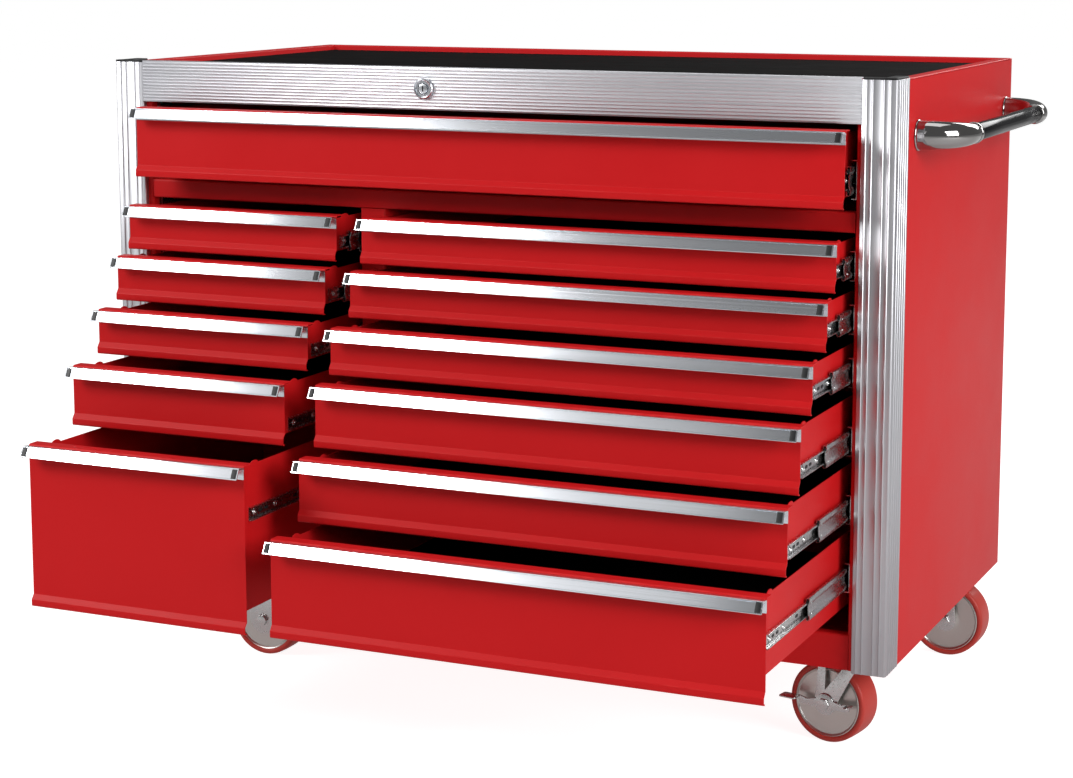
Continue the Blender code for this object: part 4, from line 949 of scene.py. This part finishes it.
WHEEL_RADIUS = 0.065
HALF_WHEEL = 0.025
FORK_SHEET = 0.003
LEG_INSIDE = HALF_WHEEL + 0.003
LEG_OUTSIDE = LEG_INSIDE + FORK_SHEET
UNDER_CROWN = WHEEL_RADIUS + 0.005
PLATE_UNDER = AT[2] + BASE - PLATE_SHEET - 0.0003
TYRE = painted("red_polyurethane", (0.50, 0.045, 0.035), (0.55, 0.055, 0.040),
               (0.43, 0.038, 0.030), (0.60, 0.12, 0.09), 0.3, (0.34, 0.46), 500.0,
               depth=0.0003)
DISC = bare_metal("spun_zinc_disc", (0.62, 0.60, 0.57), (0.67, 0.65, 0.62), (0.26, 0.36),
                  (420.0, 60.0, 60.0), 0.00004, spun=True)


def turned_about(part, angle, centre):
    """A part turned about an upright line through the origin, then carried to a centre."""
    points, faces, wear = part
    c, s = np.cos(angle), np.sin(angle)
    return points @ np.array([[c, s, 0], [-s, c, 0], [0, 0, 1]]) + centre, faces, wear


def both_faces(profile):
    """A profile of (radius, height) for one face of a wheel, and its mirror image."""
    profile = np.asarray(profile, float)
    return np.concatenate([profile, profile[::-1] * (1, -1), profile[:1]])


def wheel_parts():
    """Tyre and disc: the tread is crowned, the disc is dished inside a bright bead."""
    t = np.linspace(0, np.pi / 2, 6)
    shoulder = np.stack([WHEEL_RADIUS - 0.0055 + 0.005 * np.sin(t),
                         HALF_WHEEL - 0.005 + 0.005 * np.cos(t)], 1)
    crown = [(WHEEL_RADIUS - 0.0001, 0.010), (WHEEL_RADIUS, 0.0)]
    bead = [(0.0540, HALF_WHEEL - 0.004), (0.0558, HALF_WHEEL - 0.0012),
            (0.0572, HALF_WHEEL - 0.0002)]
    tyre = both_faces(np.concatenate([bead, shoulder, crown]))
    dish = np.array([(0.0064, 0.0002), (0.0100, 0.0002), (0.0118, 0.0012), (0.0200, 0.0044),
                     (0.0240, 0.0048), (0.0490, 0.0040), (0.0512, 0.0036), (0.0526, 0.0018),
                     (0.0540, 0.0010), (0.0552, 0.0016), (0.0556, 0.0036)])
    disc = both_faces(np.stack([dish[:, 0], HALF_WHEEL - dish[:, 1]], 1))
    return ((turned(tyre, (0, 0, 0), "y", 96), TYRE), (turned(disc, (0, 0, 0), "y", 96), DISC))


def leg(near, far, end, window):
    """Outline of a fork leg about the axle: broad above, round below, with an optional
    notch let down into it from the crown."""
    t = np.linspace(0, np.pi, 17)
    foot = np.stack([-end * np.cos(t), -end * np.sin(t)], 1)
    top = UNDER_CROWN + 0.0015
    points = [(near, top), *foot, (far, top)]
    if window:
        points += [(far - 0.020, top), (-0.0005, 0.022), (near + 0.012, top)]
    return np.array(points)


def fork_parts(near, far, end, window, race_x, rise):
    """Crown, legs, axle bolt and nuts, and what joins the crown to the top plate."""
    parts = []
    outline = leg(near, far, end, window)
    for low in (-LEG_OUTSIDE, LEG_INSIDE):
        parts.append((plate(outline, low, low + FORK_SHEET, "xz", 0.0008, 2), ZINC))
    out, up = LEG_INSIDE + FORK_SHEET / 2, UNDER_CROWN + FORK_SHEET / 2
    crown = [(-out, UNDER_CROWN - 0.010), (-out, up), (out, up), (out, UNDER_CROWN - 0.010)]
    parts.append((folded(crown, 0.004, FORK_SHEET, near, far, "yz"), ZINC))
    bolt = [(0, -LEG_OUTSIDE - 0.0035), (0.0056, -LEG_OUTSIDE - 0.0035),
            (0.0060, -LEG_OUTSIDE - 0.0030), (0.0060, LEG_OUTSIDE + 0.0030),
            (0.0056, LEG_OUTSIDE + 0.0035), (0, LEG_OUTSIDE + 0.0035)]
    parts.append((turned(bolt, (0, 0, 0), "y", 24), ZINC))
    t = np.arange(6) * np.pi / 3
    hexagon = np.stack([np.cos(t), np.sin(t)], 1) * 0.0098
    for low in (-LEG_OUTSIDE - 0.0074, LEG_OUTSIDE + 0.0002):
        parts.append((plate(hexagon, low, low + 0.0072, "xz", 0.0008, 2), ZINC))
    foot = UNDER_CROWN + 0.0028
    if race_x is None:
        block = rectangle((near, -LEG_OUTSIDE), (far, LEG_OUTSIDE), 0.004)
        parts.append((plate(block, foot, rise, "xy", 0.0010, 2), ZINC))
    else:
        tall = rise - foot
        race = [(0, 0), (0.0270, 0), (0.0300, 0.0030), (0.0310, 0.0070), (0.0310, tall * 0.42),
                (0.0286, tall * 0.47), (0.0286, tall * 0.55), (0.0310, tall * 0.60),
                (0.0310, tall * 0.85), (0.0292, tall), (0, tall)]
        parts.append((turned(race, (race_x, 0, foot), "z", 64), ZINC))
    return parts


EYE_RADIUS = 0.0165


def brake_parts():
    """Rocking lever: an eye round the axle nut, two wavy arms and a pad turned out at
    the end of each, one short and one long."""
    outer = -LEG_OUTSIDE - 0.0006
    inner = outer - FORK_SHEET
    t = np.linspace(0.42, np.pi - 0.42, 13)
    upper = EYE_RADIUS * np.stack([np.cos(t), np.sin(t)], 1)
    lower = -upper
    right = [(0.030, -0.0070), (0.044, -0.0050), (0.044, 0.0070), (0.030, 0.0035)]
    left = [(-0.030, 0.0035), (-0.044, 0.0070), (-0.044, -0.0050), (-0.030, -0.0070)]
    outline = np.concatenate([right, upper, left, lower])
    parts = [(plate(outline, inner, outer, "xz", 0.0007, 2), ZINC)]
    for start, end in ((-0.0705, -0.0415), (0.0415, 0.0505)):
        pad = rectangle((start, inner - 0.0195), (end, outer - 0.0003), 0.004, 5)
        parts.append((plate(pad, 0.0042, 0.0069, "xy", 0.0008, 2), ZINC))
    return parts


TRAIL = float(np.hypot(*(CASTERS["front_right"][1] - CASTERS["front_right"][0])[:2]))
for corner, (pivot, axle, heading, swivels) in CASTERS.items():
    tyre, disc = [(turned_about(part, heading, axle), paint) for part, paint in wheel_parts()]
    piece(corner + "_tyre", [tyre], corner + "_wheel", [corner + "_wheel"], at=0.0)
    plate_disc = piece(corner + "_disc", [disc], corner + "_wheel", (), at=0.0)
    points = np.empty(len(plate_disc.data.vertices) * 3)
    plate_disc.data.vertices.foreach_get("co", points)
    arm = points.reshape(-1, 3) - axle
    along = arm @ np.array([-np.sin(heading), np.cos(heading), 0.0])
    spun = np.stack([np.sqrt((arm ** 2).sum(1) - along ** 2), along, along], 1)
    plate_disc.data.attributes.new("spun", "FLOAT_VECTOR", "POINT").data.foreach_set(
        "vector", spun.ravel())
    rise = PLATE_UNDER - axle[2]
    if swivels:
        fork = fork_parts(-0.012, TRAIL + 0.031, 0.019, True, TRAIL, rise)
    else:
        fork = fork_parts(-0.031, 0.031, 0.026, False, None, rise)
    fork = [(turned_about(part, heading, axle), paint) for part, paint in fork]
    piece(corner + "_yoke", fork, corner + "_fork" if swivels else "cabinet",
          [corner + "_fork"], at=0.0)
    if corner + "_brake" in frame["nodes"]:
        lever = [(turned_about(part, heading, axle), paint) for part, paint in brake_parts()]
        piece(corner + "_lever", lever, corner + "_brake", [corner + "_brake"],
              at=0.0)

# ------------------------------------------------------------------ studio
# A level sheet of pale paper is the floor. Soft boxes stand to the front left, in front,
# to the right, above and behind, and the camera looks from the front right.


def studio_floor():
    """Level pale paper, 60 m across."""
    mesh = bpy.data.meshes.new("studio_floor")
    mesh.from_pydata([(-30, -30, 0), (30, -30, 0), (30, 30, 0), (-30, 30, 0)], [],
                     [(0, 1, 2, 3)])
    made, tree, shader = new_material("studio_paper", (0.5, 0.5, 0.5))
    shader.inputs["Roughness"].default_value = 0.9
    shader.inputs["Specular IOR Level"].default_value = 0.1
    shader.inputs["Emission Color"].default_value = (1, 1, 1, 1)
    seen = add(tree, "LightPath").outputs["Is Camera Ray"]
    glow = add(tree, "MapRange", Value=seen, To_Min=0.20, To_Max=0.92)
    grain = add(tree, "TexNoise", Scale=40.0, Detail=3.0)
    tone = mixed(tree, grain.outputs["Fac"], (0.46, 0.46, 0.46, 1), (0.50, 0.50, 0.50, 1))
    tree.links.new(glow.outputs[0], shader.inputs["Emission Strength"])
    tree.links.new(tone, shader.inputs["Base Color"])
    mesh.materials.append(made)
    obj = in_scene("studio_floor", mesh)


def soft_box(name, place, target, size, power):
    """A rectangular soft box at a place, facing a target."""
    light = bpy.data.lights.new(name, "AREA")
    light.shape = "RECTANGLE"
    light.size, light.size_y = size
    light.energy = power
    obj = in_scene(name, light)
    away = Vector(place) - Vector(target)
    obj.rotation_euler = away.to_track_quat("Z", "Y").to_euler()
    obj.location = place


studio_floor()
soft_box("key", (-4.3, -3.9, 3.7), (0, 0, 0.5), (2.2, 2.2), 240.0)
soft_box("fill", (-1.6, -5.4, 3.6), (0, 0, 0.5), (3.6, 2.4), 18.0)
soft_box("side", (4.2, -1.6, 2.2), (0.6, 0.2, 0.5), (2.2, 2.4), 150.0)
soft_box("overhead", (0.0, 0.6, 4.2), (0, 0.2, 0.5), (3.0, 2.0), 30.0)
soft_box("back", (1.6, 5.0, 3.4), (0, 0.4, 0.5), (2.4, 2.4), 130.0)
world = bpy.data.worlds.new("studio")
bpy.context.scene.world = world
world.use_nodes = True
sky = world.node_tree.nodes["Background"]
sky.inputs["Color"].default_value = (1, 1, 1, 1)
seen = add(world.node_tree, "LightPath").outputs["Is Camera Ray"]
level = add(world.node_tree, "MapRange", Value=seen, To_Min=0.16, To_Max=1.0)
world.node_tree.links.new(level.outputs[0], sky.inputs["Strength"])
bpy.context.scene.view_settings.view_transform = "Standard"

camera = bpy.data.cameras.new("camera")
camera.sensor_width = 36.0
camera.lens = 78.68
camera.shift_y = -0.0997
camera_object = in_scene("camera", camera)
yaw, pitch, roll = np.radians([24.267, 81.718, -0.04])
looking = (Matrix.Rotation(yaw, 4, "Z") @ Matrix.Rotation(pitch, 4, "X")
           @ Matrix.Rotation(roll, 4, "Z"))
camera_object.rotation_euler = looking.to_euler()
camera_object.location = np.array([1.6042, -3.3315, 1.1023]) + AT
bpy.context.scene.camera = camera_object
